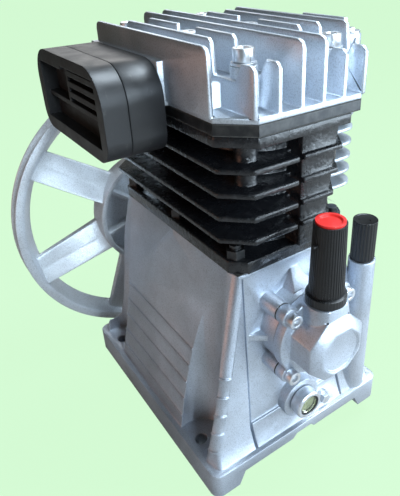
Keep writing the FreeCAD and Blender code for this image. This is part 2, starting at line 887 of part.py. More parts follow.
def throw(name, y, up):
    """Two webs with their counterweights and the crank pin between them."""
    sign = "+" if up else "-"
    pin_z = "shaft_height %s stroke / 2" % sign
    items = [cylinder(name + "_pin", "crank_pin_radius", "2 * crank_pin_half",
                      ("0", "%s - crank_pin_half" % y, pin_z), "Y")]
    for tag, start in (("a", "%s - crank_pin_half - web_thickness" % y), ("b", "%s + crank_pin_half" % y)):
        disc = cylinder(name + "_disc_" + tag, "counterweight", "web_thickness", ("0", start, "shaft_height"), "Y")
        low = "shaft_height - counterweight - 1" if up else "shaft_height"
        high = "shaft_height" if up else "shaft_height + counterweight + 1"
        half = box(name + "_half_" + tag, ("-counterweight - 1", "counterweight + 1"),
                   (start, start + " + web_thickness"), (low, high))
        eye = cylinder(name + "_eye_" + tag, "web_eye", "web_thickness", ("0", start, pin_z), "Y")
        neck_low = "shaft_height" if up else pin_z
        neck_high = pin_z if up else "shaft_height"
        neck = box(name + "_neck_" + tag, ("-web_eye", "web_eye"), (start, start + " + web_thickness"),
                   (neck_low, neck_high))
        items += [common(name + "_weight_" + tag, [disc, half]), eye, neck]
    return items


def crankshaft():
    front_web = CYLINDERS["front"] + " - crank_pin_half - web_thickness"
    middle_start = CYLINDERS["front"] + " + crank_pin_half"
    middle_end = CYLINDERS["rear"] + " - crank_pin_half"
    rear_web = CYLINDERS["rear"] + " + crank_pin_half + web_thickness"
    centre = ("0", "0", "shaft_height")
    shaft = turned("shaft_front", rectangle("0", "bearing_bore", "nose_face", front_web + " + 1"), *centre)
    shoulder = turned("shaft_shoulder", rectangle("0", "bearing_bore + 3", "nose_face + front_bearing_width",
                                                  front_web + " + 1"), *centre)
    nose = turned("shaft_nose_end", [
        ("0", "nose_face - shaft_nose"),
        ("bearing_bore - 6", "nose_face - shaft_nose"),
        ("bearing_bore - 5", "nose_face - shaft_nose + 1"),
        ("bearing_bore - 5", "nose_face + 1"),
        ("0", "nose_face + 1"),
    ], *centre)
    middle = turned("shaft_middle", rectangle("0", "journal_radius", middle_start, middle_end), *centre)
    rear = turned("shaft_rear", [
        ("0", rear_web + " - 1"),
        ("bearing_bore + 3", rear_web + " - 1"),
        ("bearing_bore + 3", "rear_bearing_face"),
        ("bearing_bore", "rear_bearing_face"),
        ("bearing_bore", "shaft_step"),
        ("shaft_radius", "shaft_step + 2"),
        ("shaft_radius", "shaft_end"),
        ("stud_radius", "shaft_end"),
        ("stud_radius", "shaft_end + stud_length - 1"),
        ("stud_radius - 1", "shaft_end + stud_length"),
        ("0", "shaft_end + stud_length"),
    ], *centre)
    pieces = [shaft, shoulder, nose, middle, rear]
    pieces += throw("front_throw", CYLINDERS["front"], True) + throw("rear_throw", CYLINDERS["rear"], False)
    keyway = box("shaft_keyway", ("-key_width / 2", "key_width / 2"), ("shaft_end - key_length", "shaft_end + 1"),
                 ("shaft_height + shaft_radius - key_depth", "shaft_height + shaft_radius + 2"))
    return node("crankshaft", cut("crankshaft_cut", fuse("crankshaft_whole", pieces), [keyway]))


def octagon(flats):
    """Corners of an upright octagon about the shaft line."""
    points = []
    for number in range(8):
        turn = "%g deg" % (45 * number + 22.5)
        reach = "%s / 2 / cos(22.5 deg)" % flats
        points.append(("%s * cos(%s)" % (reach, turn), "shaft_height + %s * sin(%s)" % (reach, turn)))
    return points


def lofted(name, axis, first, first_at, second, second_at):
    """A ruled solid between two outlines at two stations on an axis."""
    body = DOC.addObject("PartDesign::Body", name)
    sketches = []
    for tag, loop, station in (("first", first, first_at), ("second", second, second_at)):
        sketch = sketch_on(body, name + "_" + tag, axis, station)
        draw(sketch, [loop])
        sketches.append(sketch)
    DOC.recompute()
    loft = body.newObject("PartDesign::AdditiveLoft", name + "_loft")
    loft.Profile = sketches[0]
    loft.Sections = [sketches[1]]
    loft.Ruled = True
    return body


def front_cap():
    shoulder = "(%s + cap_bevel)" % CAP_FRONT
    prism = plate("cap_prism", "Y", [octagon("cap_flats")], shoulder, CAP_SEAT + " + 1")
    bevel = lofted("cap_bevelled", "Y", octagon("cap_bevel_flats"), CAP_FRONT, octagon("cap_flats"), shoulder)
    seat = cylinder("cap_seat", "cap_flange_radius", "cap_flange", ("0", CAP_SEAT, "shaft_height"), "Y")
    lobes = [cylinder("cap_lobe_%d" % n, "cap_boss_radius", "cap_flange", (x, CAP_SEAT, z), "Y")
             for n, (x, z) in enumerate(CAP_SCREWS)]
    neck = cylinder("cap_neck", "neck_radius", "neck_top - shaft_height", ("0", "breather_y", "shaft_height"))
    trim = box("cap_neck_trim", ("-neck_radius - 1", "neck_radius + 1"), (shoulder, CAP_BACK),
               ("shaft_height", "neck_top + 1"))
    solid = fuse("cap_solid", [prism, bevel, seat, common("cap_neck_cut", [neck, trim])] + lobes)
    chamber_end = CAP_FRONT + " + cap_wall"
    tools = [
        cylinder("cap_chamber", "cap_chamber_radius", "(%s) - (%s) + 1" % (CAP_BACK, chamber_end),
                 ("0", chamber_end, "shaft_height"), "Y"),
        cylinder("cap_disc", "cap_disc_radius", "cap_disc_depth + 1", ("0", CAP_FRONT + " - 1", "shaft_height"),
                 "Y"),
        cylinder("cap_riser", "breather_bore", "neck_top - shaft_height + 1",
                 ("0", "breather_y", "shaft_height")),
    ]
    for number, (x, z) in enumerate(CAP_SCREWS):
        tools.append(cylinder("cap_hole_%d" % number, "cap_screw_radius + run_gap", "cap_flange + 2",
                              (x, CAP_SEAT + " - 1", z), "Y"))
        tools.append(cylinder("cap_spot_%d" % number, "cap_screw_head + run_gap", "20",
                              (x, CAP_SEAT + " - 20", z), "Y"))
    return node("front_cap", cut("cap_cut", solid, tools))


def front_cap_gasket():
    disc = cylinder("cap_gasket_disc", "cap_flange_radius - 1", "gasket_thickness",
                    ("0", CAP_BACK, "shaft_height"), "Y")
    lobes = [cylinder("cap_gasket_lobe_%d" % n, "cap_boss_radius", "gasket_thickness", (x, CAP_BACK, z), "Y")
             for n, (x, z) in enumerate(CAP_SCREWS)]
    tools = [cylinder("cap_gasket_bore", "front_bearing_outer - 3", "gasket_thickness + 2",
                      ("0", CAP_BACK + " - 1", "shaft_height"), "Y")]
    tools += [cylinder("cap_gasket_hole_%d" % n, "cap_screw_radius + run_gap", "gasket_thickness + 2",
                       (x, CAP_BACK + " - 1", z), "Y") for n, (x, z) in enumerate(CAP_SCREWS)]
    return node("front_cap_gasket", cut("cap_gasket_cut", fuse("cap_gasket_whole", [disc] + lobes), tools))


def front_cap_screws():
    grip = "cap_flange + gasket_thickness + cap_screw_length - 1"
    return node("front_cap_screws", compound("cap_screw_set", [
        socket_screw("cap_screw_%d" % n, (x, CAP_SEAT, z), "Y", "cap_screw_radius", "cap_screw_head",
                     "cap_screw_head + 1", grip)
        for n, (x, z) in enumerate(CAP_SCREWS)]))


def socket_screw(name, at, axis, radius, head, head_height, length):
    """A cap screw whose head seats at a point and whose shank runs along an axis."""
    index = "XYZ".index(axis)
    back = list(at)
    back[index] = "%s - (%s)" % (at[index], head_height)
    top = cylinder(name + "_head", head, head_height, back, axis)
    shank = cylinder(name + "_shank", radius, length, at, axis)
    recess = hexagon(name + "_hex", "(%s) * 0.95" % head, "(%s) * 0.55" % head_height, back, axis)
    return cut(name, fuse(name + "_whole", [top, shank]), [recess])


# ---------------------------------------------------------------- flywheel
def groove_section():
    """Half section of the rim with its belt groove and tapered inside."""
    middle = "(wheel_face + wheel_width / 2)"
    return [
        ("wheel_inner_near", "wheel_face"),
        ("wheel_radius", "wheel_face"),
        ("wheel_radius", middle + " - groove_top / 2"),
        ("wheel_radius - groove_depth", middle + " - groove_bottom / 2"),
        ("wheel_radius - groove_depth", middle + " + groove_bottom / 2"),
        ("wheel_radius", middle + " + groove_top / 2"),
        ("wheel_radius", WHEEL_BACK),
        ("wheel_inner_far", WHEEL_BACK),
    ]


def hub_section():
    """Half section of the hub: a drum open towards the crankcase, closed by a web."""
    back = "shaft_end"
    web = back + " - drum_web"
    return [
        ("shaft_radius + fit_gap", "hub_face"),
        ("hub_radius", "hub_face"),
        ("hub_radius", web),
        ("drum_radius - drum_wall", web),
        ("drum_radius - drum_wall", "drum_face"),
        ("drum_radius", "drum_face"),
        ("drum_radius", back),
        ("shaft_radius + fit_gap", back),
    ]


def blade(near_x, near_y, far_x, far_y, bulge):
    """Section of a fan-blade spoke between its two edges, bulging to the front."""
    depth = "spoke_thickness * 1.15"
    middle = ("(%s + %s) / 2" % (near_x, far_x), "(%s + %s) / 2 - %s" % (near_y, far_y, bulge))
    return [
        (near_x, near_y),
        middle,
        (far_x, "%s - %s" % (far_y, depth)),
        (far_x, far_y),
        (middle[0], "%s + %s" % (middle[1], depth)),
        (near_x, "%s + %s" % (near_y, depth)),
    ]


def spokes():
    """The blades, one for each spoke, turned about the shaft line."""
    items = []
    inner = blade("-blade_root_near", "blade_root_front", "blade_root_far", "shaft_end - 0.6", "blade_bulge")
    outer = blade("-blade_tip_near", "wheel_face + 0.6", "blade_tip_far", "blade_tip_back", "blade_bulge / 2")
    for number in range(int(value("spoke_count"))):
        name = "spoke_%d" % number
        item = lofted(name, "Z", inner, "drum_radius - drum_wall / 2", outer,
                      "wheel_inner_near - 0.4")
        item.Placement = Placement(Vector(), Rotation(Vector(0, 1, 0), 1))
        place(item, z="shaft_height")
        item.setExpression("Placement.Rotation.Angle",
                           bound("450 deg - spoke_angle * 1 deg - %d * 360 deg / spoke_count" % number))
        items.append(item)
    return items


def flywheel():
    rim = turned("wheel_rim", groove_section(), z="shaft_height")
    hub = turned("wheel_hub", hub_section(), z="shaft_height")
    ribs = []
    for number in range(int(value("spoke_count"))):
        rib = DOC.addObject("Part::Box", "hub_rib_%d" % number)
        bind(rib, Length="rib_thickness", Width="shaft_end - drum_web - drum_face - 3",
             Height="drum_radius - drum_wall - hub_radius + 3")
        turn = "450 deg - spoke_angle * 1 deg - %d * 360 deg / spoke_count" % number
        rib.Placement = Placement(Vector(), Rotation(Vector(0, 1, 0), 1))
        rib.setExpression("Placement.Rotation.Angle", bound(turn))
        place(rib,
              "(hub_radius - 1) * sin(%s) - rib_thickness / 2 * cos(%s)" % (turn, turn),
              "drum_face + 4",
              "shaft_height + (hub_radius - 1) * cos(%s) + rib_thickness / 2 * sin(%s)" % (turn, turn))
        ribs.append(rib)
    wheel = fuse("wheel_whole", [rim, hub] + ribs + spokes())
    keyway = box("wheel_keyway", ("-key_width / 2 - fit_gap", "key_width / 2 + fit_gap"),
                 ("hub_face - 1", "shaft_end + 1"),
                 ("shaft_height", "shaft_height + shaft_radius - key_depth + key_height + 0.2"))
    inside = cylinder("wheel_key_core", "shaft_radius", "shaft_end", ("0", "0", "shaft_height"), "Y")
    return node("flywheel", cut("flywheel_cut", wheel, [cut("wheel_key_slot", keyway, [inside])]))


def wheel_fixings():
    """Key, washer and nut that hold the flywheel on the shaft."""
    node("flywheel_key", box("wheel_key", ("-key_width / 2", "key_width / 2"),
                             ("shaft_end - key_length", "shaft_end"),
                             ("shaft_height + shaft_radius - key_depth",
                              "shaft_height + shaft_radius - key_depth + key_height")))
    washer = "shaft_end + wheel_washer_thickness"
    node("flywheel_washer", ring("wheel_washer_ring", "stud_radius + 0.2", "wheel_washer", "shaft_end", washer))
    nut = hexagon("wheel_nut_hex", "wheel_nut_flats", "wheel_nut_height", ("0", washer, "shaft_height"), "Y")
    thread = cylinder("wheel_nut_thread", "stud_radius + thread_gap", "wheel_nut_height + 2",
                      ("0", washer + " - 1", "shaft_height"), "Y")
    node("flywheel_nut", cut("wheel_nut_cut", nut, [thread]))


# ---------------------------------------------------------------- cylinder block
def bolt_cylinders(name, radius, low, high, places=HEAD_BOLTS):
    """One cylinder at every bolt place, between two heights."""
    return [cylinder("%s_%d" % (name, n), radius, "(%s) - (%s)" % (high, low), (x, y, low))
            for n, (x, y) in enumerate(places)]


def slanted(half_x, y0, y1, corner, nose, back):
    """Corner points of a rectangle with cut corners, the one at the front right cut further."""
    points = chamfered(half_x, y0, y1, corner)
    points[2] = (nose, y0)
    points[3] = (half_x, "(%s) + %s" % (y0, back))
    return points


def pad_outline(front, nose):
    """Outline of the solid wall behind the fins at the front right."""
    near = "%s + pad_inset" % front
    side = "(block_x - 2 * pad_inset)"
    back = "%s + fin_cut + pad_back" % front
    return [("pad_left", near), ("%s - pad_inset" % nose, near), (side, "%s + fin_cut" % front), (side, back),
            ("pad_left", back)]


def cylinder_block():
    front = "(cylinder_shift - block_half_length)"
    rear = "(cylinder_shift + block_half_length)"
    foot_top = "(%s + block_foot)" % BLOCK_BASE
    foot = plate("block_foot_plate", "Z", [chamfered("case_top_x + foot_lip", "case_top_front - foot_lip",
                                                     "case_top_rear + foot_lip", "10")],
                 BLOCK_BASE, foot_top)
    deck = plate("block_deck", "Z", [slanted(HEAD_X, HEAD_FRONT, HEAD_REAR, "head_corner", "deck_nose", "deck_cut")],
                 "deck_bottom", "deck_top")
    items = [foot, deck]
    for number in range(int(value("fin_count"))):
        low = "fin_first + %d * fin_pitch - fin_thickness / 2" % number
        nose = "(fin_nose + %d * fin_nose_step)" % number
        items.append(plate("block_fin_%d" % number, "Z",
                           [slanted("block_x", front, rear, "block_corner", nose, "fin_cut")],
                           low, low + " + fin_thickness"))
    for tag, y in CYLINDERS.items():
        items.append(cylinder("barrel_" + tag, "barrel_radius", "deck_top - " + BLOCK_BASE, ("0", y, BLOCK_BASE)))
    items += bolt_cylinders("bolt_column", "column_radius", "fin_first + 2 * fin_pitch", "deck_top - 1")
    items.append(lofted("block_pad", "Z", pad_outline(front, "fin_nose"), foot_top + " - 1",
                        pad_outline(front, "deck_nose"), "deck_bottom + 1"))
    tools = [box("block_slot", ("pad_left - slot_width", "pad_left"), (front + " - 1", front + " + slot_depth"),
                 (foot_top, "deck_bottom"))]
    for tag, y in CYLINDERS.items():
        tools.append(cylinder("bore_" + tag, "cylinder_bore", "deck_top - case_top + 2", ("0", y, "case_top")))
    tools += bolt_cylinders("block_bolt_hole", "bolt_radius + thread_gap",
                            "bolt_boss_top + washer_thickness - bolt_length - 2", "deck_top + 1")
    tools += bolt_cylinders("block_stud_hole", "block_stud_radius + run_gap", "case_top", foot_top + " + 1",
                            BLOCK_STUDS)
    return node("cylinder_block", cut("block_cut", fuse("block_whole", items), tools))


def block_nuts():
    """The studs and nuts that hold the block on the crankcase."""
    foot_top = "(%s + block_foot)" % BLOCK_BASE
    sets = []
    for number, (x, y) in enumerate(BLOCK_STUDS):
        nut = hexagon("stud_nut_%d" % number, "nut_flats", "nut_height", (x, y, foot_top))
        stud = cylinder("stud_%d" % number, "block_stud_radius",
                        "nut_height + 3 + %s - case_top + stud_depth - 1" % foot_top,
                        (x, y, "case_top - stud_depth + 1"))
        sets.append(fuse("stud_set_%d" % number, [nut, stud]))
    return node("block_nuts", compound("block_nut_set", sets))


# ---------------------------------------------------------------- valve plate and gaskets
def head_sheet(name, low, high, holes, bolt):
    """A flat piece with the outline of the head between two heights."""
    sheet = plate(name + "_sheet", "Z", [chamfered(HEAD_X, HEAD_FRONT, HEAD_REAR, "head_corner")], low, high)
    holes += bolt_cylinders(name + "_bolt", bolt, low + " - 1", high + " + 1")
    return cut(name + "_cut", sheet, holes)


def chamber(name, y, side, low, high, margin="0"):
    """The space over one cylinder on the intake (-) or delivery (+) side."""
    near = "rib_half - %s" % margin
    far = "chamber_x + %s" % margin
    x = (near, far) if side == "+" else ("-(%s)" % far, "-(%s)" % near)
    return box(name, x, ("%s - chamber_y - %s" % (y, margin), "%s + chamber_y + %s" % (y, margin)), (low, high))


def valve_plate_set():
    windows = [cylinder("plate_gasket_window_" + tag, "cylinder_bore + 1", "gasket_thickness + 2",
                        ("0", y, "deck_top - 1")) for tag, y in CYLINDERS.items()]
    node("plate_gasket", head_sheet("plate_gasket", "deck_top", PLATE_BASE, windows, "bolt_hole"))
    ports = []
    intake = []
    delivery = []
    for tag, y in CYLINDERS.items():
        for side, reeds, low, high in (("-", intake, PLATE_BASE + " - reed_thickness", PLATE_BASE),
                                       ("+", delivery, PLATE_TOP, PLATE_TOP + " + reed_thickness")):
            x = "(%sport_offset)" % side.replace("+", "")
            name = "%s_%s" % (tag, "delivery" if side == "+" else "intake")
            ports.append(cylinder("port_" + name, "port_radius", "plate_thickness + 2",
                                  (x, y, PLATE_BASE + " - 1")))
            reeds.append(box("reed_" + name, (x + " - reed_width / 2", x + " + reed_width / 2"),
                             (y + " - reed_length / 2", y + " + reed_length / 2"), (low, high)))
    node("valve_plate", head_sheet("valve_plate", PLATE_BASE, PLATE_TOP, ports, "bolt_hole"))
    node("intake_reeds", compound("intake_reed_set", intake))
    node("discharge_reeds", compound("delivery_reed_set", delivery))
    openings = []
    for tag, y in CYLINDERS.items():
        for side in "-+":
            openings.append(chamber("gasket_chamber_%s_%s" % (tag, "ab"["-+".index(side)]), y, side,
                                    PLATE_TOP + " - 1", HEAD_BASE + " + 1"))
    node("head_gasket", head_sheet("head_gasket", PLATE_TOP, HEAD_BASE, openings, "bolt_hole"))


# ---------------------------------------------------------------- cylinder head
def mirrored(points, short="0"):
    """A profile and its mirror about the middle of the head, which can be a little shorter."""
    other = [("2 * cylinder_shift - (%s) - %s" % (y, short), z) for y, z in reversed(points)]
    return points + other


def fin_profile(kind):
    """Front half outline of a cooling fin: plain, notched for a bolt, or at the flank."""
    foot = "fin_foot - 1"
    top = "head_fin_top"
    if kind == "plain":
        front = [(HEAD_FRONT, foot), (HEAD_FRONT, top + " - head_fin_corner"),
                 (HEAD_FRONT + " + head_fin_corner * 0.3", top + " - head_fin_corner * 0.3"),
                 (HEAD_FRONT + " + head_fin_corner", top)]
    elif kind == "flank":
        edge = "(%s + head_corner)" % HEAD_FRONT
        front = [(edge, foot), (edge, top + " - head_fin_corner"),
                 (edge + " + head_fin_corner * 0.3", top + " - head_fin_corner * 0.3"),
                 (edge + " + head_fin_corner", top)]
    elif kind == "vee":
        edge = "(%s + head_corner + vee_back)" % HEAD_FRONT
        front = [(edge, foot), (edge, "tip_top"), (edge + " + 2", "tip_top"),
                 (edge + " + 7", "notch_floor"), (edge + " + 9.5", top + " - 2"), (edge + " + 12", top)]
    else:
        back = "(cylinder_shift - bolt_pitch + bolt_clear_back)"
        front = [(HEAD_FRONT, foot), (HEAD_FRONT, "tip_top - 3"), (HEAD_FRONT + " + 3", "tip_top"),
                 ("cylinder_shift - bolt_pitch - bolt_clear_front - 6", "tip_top"),
                 ("cylinder_shift - bolt_pitch - bolt_clear_front", "notch_floor"),
                 (back, "notch_floor"), (back + " + 2", top + " - 3"), (back + " + 5", top)]
    return mirrored(front, "flank_short" if kind == "flank" else "0")


FIN_KINDS = ["flank", "bolt", "bolt", "plain", "plain", "bolt", "bolt", "vee"]


def head_fins():
    fins = []
    for number, kind in enumerate(FIN_KINDS):
        x = "((%d - 3.5) * head_fin_pitch)" % number
        fins.append(plate("head_fin_%d" % number, "X", [fin_profile(kind)], x + " - head_fin_thickness / 2",
                          x + " + head_fin_thickness / 2"))
    return fins


def cylinder_head():
    ceiling = "%s + chamber_height" % HEAD_BASE
    roof = ceiling + " + chamber_wall"
    floor = plate("head_floor_plate", "Z", [chamfered(HEAD_X, HEAD_FRONT, HEAD_REAR, "head_corner")],
                  HEAD_BASE, "fin_foot")
    items = [floor] + head_fins()
    items += bolt_cylinders("head_boss", "bolt_boss_radius", "fin_foot - 1", "bolt_boss_top")
    tools = []
    link = ("cylinder_shift - cylinder_pitch / 2 + chamber_y - 1", "cylinder_shift + cylinder_pitch / 2 - chamber_y + 1")
    for tag, y in CYLINDERS.items():
        items.append(box("head_raise_" + tag, ("-chamber_x - chamber_wall", "chamber_x + chamber_wall"),
                         (y + " - chamber_y - chamber_wall", y + " + chamber_y + chamber_wall"),
                         ("fin_foot - 1", roof)))
        for side in "-+":
            tools.append(chamber("head_chamber_%s_%s" % (tag, "ab"["-+".index(side)]), y, side,
                                 HEAD_BASE + " - 1", ceiling))
    for side, sign in (("left", "-"), ("right", "")):
        outer = ("%s(chamber_x + chamber_wall)" % sign, "%s(chamber_x - link_width - chamber_wall)" % sign)
        inner = ("%schamber_x" % sign, "%s(chamber_x - link_width)" % sign)
        if sign == "":
            outer, inner = outer[::-1], inner[::-1]
        items.append(box("head_link_raise_" + side, outer, link, ("fin_foot - 1", roof)))
        tools.append(box("head_link_" + side, inner, link, (HEAD_BASE + " + 2", ceiling)))
    items.append(box("intake_pad", ("-intake_face", "-chamber_x - 1"),
                     ("intake_shift - intake_half", "intake_shift + intake_half"), (HEAD_BASE, "intake_top")))
    items.append(box("delivery_pad", ("chamber_x + 1", "delivery_face"),
                     ("cooler_y - delivery_half", "cooler_y + delivery_half"), (HEAD_BASE, "delivery_top")))
    port_z = "%s + port_height" % HEAD_BASE
    tools.append(cylinder("intake_port_hole", "intake_port", "intake_face - chamber_x + 2",
                          ("-intake_face - 1", "intake_y", port_z), "X"))
    tools.append(cylinder("delivery_port_hole", "intake_port", "delivery_face - chamber_x + 2",
                          ("chamber_x - 1", "delivery_y", port_z), "X"))
    for number, y in enumerate(SIDE_SCREWS):
        tools.append(cylinder("side_screw_hole_%d" % number, "side_screw_radius + thread_gap", "9",
                              ("delivery_face - 9", y, "cooler_screw_z"), "X"))
    tools += bolt_cylinders("head_bolt_hole", "bolt_hole", HEAD_BASE + " - 1", "bolt_boss_top + 1")
    for number, side in enumerate(("-", "")):
        x = side + "bolt_middle_x"
        tools.append(box("middle_gap_%d" % number, (x + " - 3", x + " + 3"),
                         ("cylinder_shift - middle_gap", "cylinder_shift + middle_gap"),
                         ("bolt_boss_top", "head_fin_top + 1")))
    return node("cylinder_head", cut("head_cut", fuse("head_whole", items), tools))


def head_bolts():
    """Six socket bolts, each on its own washer."""
    seat = "bolt_boss_top + washer_thickness"
    bolts = []
    washers = []
    for number, (x, y) in enumerate(HEAD_BOLTS):
        top = cylinder("bolt_head_%d" % number, "bolt_head_radius", "bolt_head_height", (x, y, seat))
        shank = cylinder("bolt_shank_%d" % number, "bolt_radius", "bolt_length + 1",
                         (x, y, seat + " - bolt_length"))
        socket = hexagon("bolt_socket_%d" % number, "2 * bolt_socket", "bolt_socket_depth + 1",
                         (x, y, seat + " + bolt_head_height - bolt_socket_depth"))
        bolts.append(cut("head_bolt_%d" % number, fuse("bolt_whole_%d" % number, [top, shank]), [socket]))
        disc = cylinder("washer_disc_%d" % number, "washer_radius", "washer_thickness", (x, y, "bolt_boss_top"))
        hole = cylinder("washer_hole_%d" % number, "bolt_hole", "washer_thickness + 2",
                        (x, y, "bolt_boss_top - 1"))
        washers.append(cut("head_washer_%d" % number, disc, [hole]))
    node("head_bolts", compound("head_bolt_set", bolts))
    node("head_washers", compound("head_washer_set", washers))


# ---------------------------------------------------------------- pistons
def piston(tag, drop):
    """A piston with its rings and pin, a given drop below top dead centre."""
    y = CYLINDERS[tag]
    radius = "(cylinder_bore - piston_gap)"
    top = "(deck_top - crown_clearance - %s)" % drop
    bottom = "(%s - piston_length)" % top
    section = [("0", top), (radius, top)]
    rings = []
    for number in range(int(value("ring_count"))):
        high = "(%s - ring_first - %d * ring_pitch)" % (top, number)
        low = "(%s - ring_height)" % high
        section += [(radius, high), (radius + " - ring_depth", high), (radius + " - ring_depth", low),
                    (radius, low)]
        whole = turned("%s_ring_%d" % (tag, number), rectangle(
            radius + " - ring_depth + 0.1", "cylinder_bore - fit_gap",
            low + " + ring_side_gap", high + " - ring_side_gap"), y=y, axis="Z")
        gap = box("%s_ring_gap_%d" % (tag, number), ("0", "cylinder_bore"), (y + " - 0.3", y + " + 0.3"),
                  (low + " - 1", high + " + 1"))
        rings.append(cut("%s_ring_cut_%d" % (tag, number), whole, [gap]))
    section += [(radius, bottom), (radius + " - piston_wall", bottom),
                (radius + " - piston_wall", top + " - piston_crown"), ("0", top + " - piston_crown")]
    pin_z = "(%s - pin_drop)" % top
    body = turned(tag + "_piston_turned", section, y=y, axis="Z")
    inside = radius + " - piston_wall * 0.75"
    bosses = []
    for end, start in (("a", "%s - (%s)" % (y, inside)), ("b", "%s + pin_boss_gap" % y)):
        bosses.append(cylinder("%s_pin_boss_%s" % (tag, end), "pin_radius + 5", inside + " - pin_boss_gap",
                               ("0", start, pin_z), "Y"))
    bore = cylinder(tag + "_pin_bore", "pin_radius + fit_gap", "3 * cylinder_bore",
                    ("0", "%s - 1.5 * cylinder_bore" % y, pin_z), "Y")
    node("piston_" + tag, cut(tag + "_piston_cut", fuse(tag + "_piston_whole", [body] + bosses), [bore]))
    node("piston_%s_rings" % tag, compound(tag + "_ring_set", rings))
    outer = cylinder(tag + "_pin_outer", "pin_radius", "2 * pin_half", ("0", "%s - pin_half" % y, pin_z), "Y")
    core = cylinder(tag + "_pin_core", "pin_bore", "2 * pin_half + 2", ("0", "%s - pin_half - 1" % y, pin_z), "Y")
    node("wrist_pin_" + tag, cut(tag + "_pin_cut", outer, [core]))


# ---------------------------------------------------------------- breather, filler, sight glass
def breather():
    top = "(neck_top + breather_height)"
    shoulder = "(neck_top + breather_foot_height)"
    spigot = "(neck_top - breather_spigot)"
    bore = "breather_bore - fit_gap - breather_wall"
    tube = turned("breather_turned", [
        (bore, spigot),
        ("breather_bore - fit_gap", spigot),
        ("breather_bore - fit_gap", "neck_top"),
        ("breather_foot", "neck_top"),
        ("breather_foot", shoulder),
        ("breather_low", shoulder),
        ("breather_high", top),
        ("breather_high - breather_wall", top),
        ("breather_high - breather_wall", shoulder + " + 2"),
        (bore, shoulder + " + 2"),
    ], y="breather_y", axis="Z")
    hole = cylinder("breather_side_hole", "breather_hole", "breather_low",
                    ("-breather_low - 1", "breather_y", top + " - 14"), "X")
    node("breather_tube", cut("breather_cut", tube, [hole]))
    fit = "breather_high - breather_wall - fit_gap"
    node("breather_cap", turned("breather_lid", [
        ("0", top + " - lid_height"),
        (fit, top + " - lid_height"),
        (fit, top),
        ("lid_radius", top),
        ("lid_radius", top + " + lid_rise"),
        ("lid_radius - lid_rim", top + " + lid_rise"),
        ("lid_radius - lid_rim - 1", top + " + lid_rise - lid_dish"),
        ("0", top + " + lid_rise - lid_dish"),
    ], y="breather_y", axis="Z"))


def oil_filler():
    seat = "(filler_top + seal_thickness)"
    top = "(%s + plug_height)" % seat
    stem = "(%s - plug_stem)" % seat
    tip = "(%s - dipstick_length)" % stem
    node("oil_filler_plug", turned("filler_plug_turned", [
        ("0", tip),
        ("dipstick_radius", tip),
        ("dipstick_radius", stem),
        ("filler_bore - run_gap", stem),
        ("filler_bore - run_gap", seat),
        ("plug_radius", seat),
        ("plug_radius", top + " - 1.5"),
        ("plug_radius - 1.5", top),
        ("0", top),
    ], x="filler_x", y="filler_y", axis="Z"))
    node("oil_filler_seal", turned("filler_seal_turned", rectangle(
        "filler_bore + 0.3", "plug_radius - 0.5", "filler_top", seat), x="filler_x", y="filler_y", axis="Z"))


def sight_glass():
    front = "(sight_face - sight_ring_depth)"
    end = "(sight_face + sight_thread_depth - 1)"
    seat = "(%s + 5)" % front
    thread = "sight_thread - thread_gap"
    pocket = "lens_radius + lens_seal_wall"
    where = {"z": "sight_height"}
    node("sight_glass_body", turned("sight_body", [
        ("lens_radius - 2", end),
        (thread, end),
        (thread, "sight_face"),
        ("sight_ring_radius - sight_gap_depth", "sight_face"),
        ("sight_ring_radius - sight_gap_depth", "sight_face - sight_gap"),
        ("sight_ring_radius", "sight_face - sight_gap"),
        ("sight_ring_radius", front + " + 1"),
        ("sight_ring_radius - 1", front),
        (pocket, front),
        (pocket, seat),
        ("lens_radius - 2", seat),
    ], **where))
    node("sight_glass_seal", turned("sight_seal", rectangle(
        "lens_radius + fit_gap", pocket + " - fit_gap", front + " + 1", seat), **where))
    lens = front + " + 1.4"
    node("sight_glass_lens", turned("sight_lens", rectangle(
        "0", "lens_radius", lens, lens + " + lens_thickness"), **where))
    node("sight_glass_reflector", turned("sight_reflector", rectangle(
        "0", "lens_radius", seat + " - reflector_thickness", seat), **where))


def drain_plug():
    face = "(sight_face + drain_step)"
    top = hexagon("drain_hex", "2 * drain_head_radius", "drain_head", ("drain_x", face + " - drain_head",
                                                                    "drain_height"), "Y")
    shank = cylinder("drain_shank", "drain_thread", "drain_depth - 1", ("drain_x", face, "drain_height"), "Y")
    return node("drain_plug", fuse("drain_whole", [top, shank]))


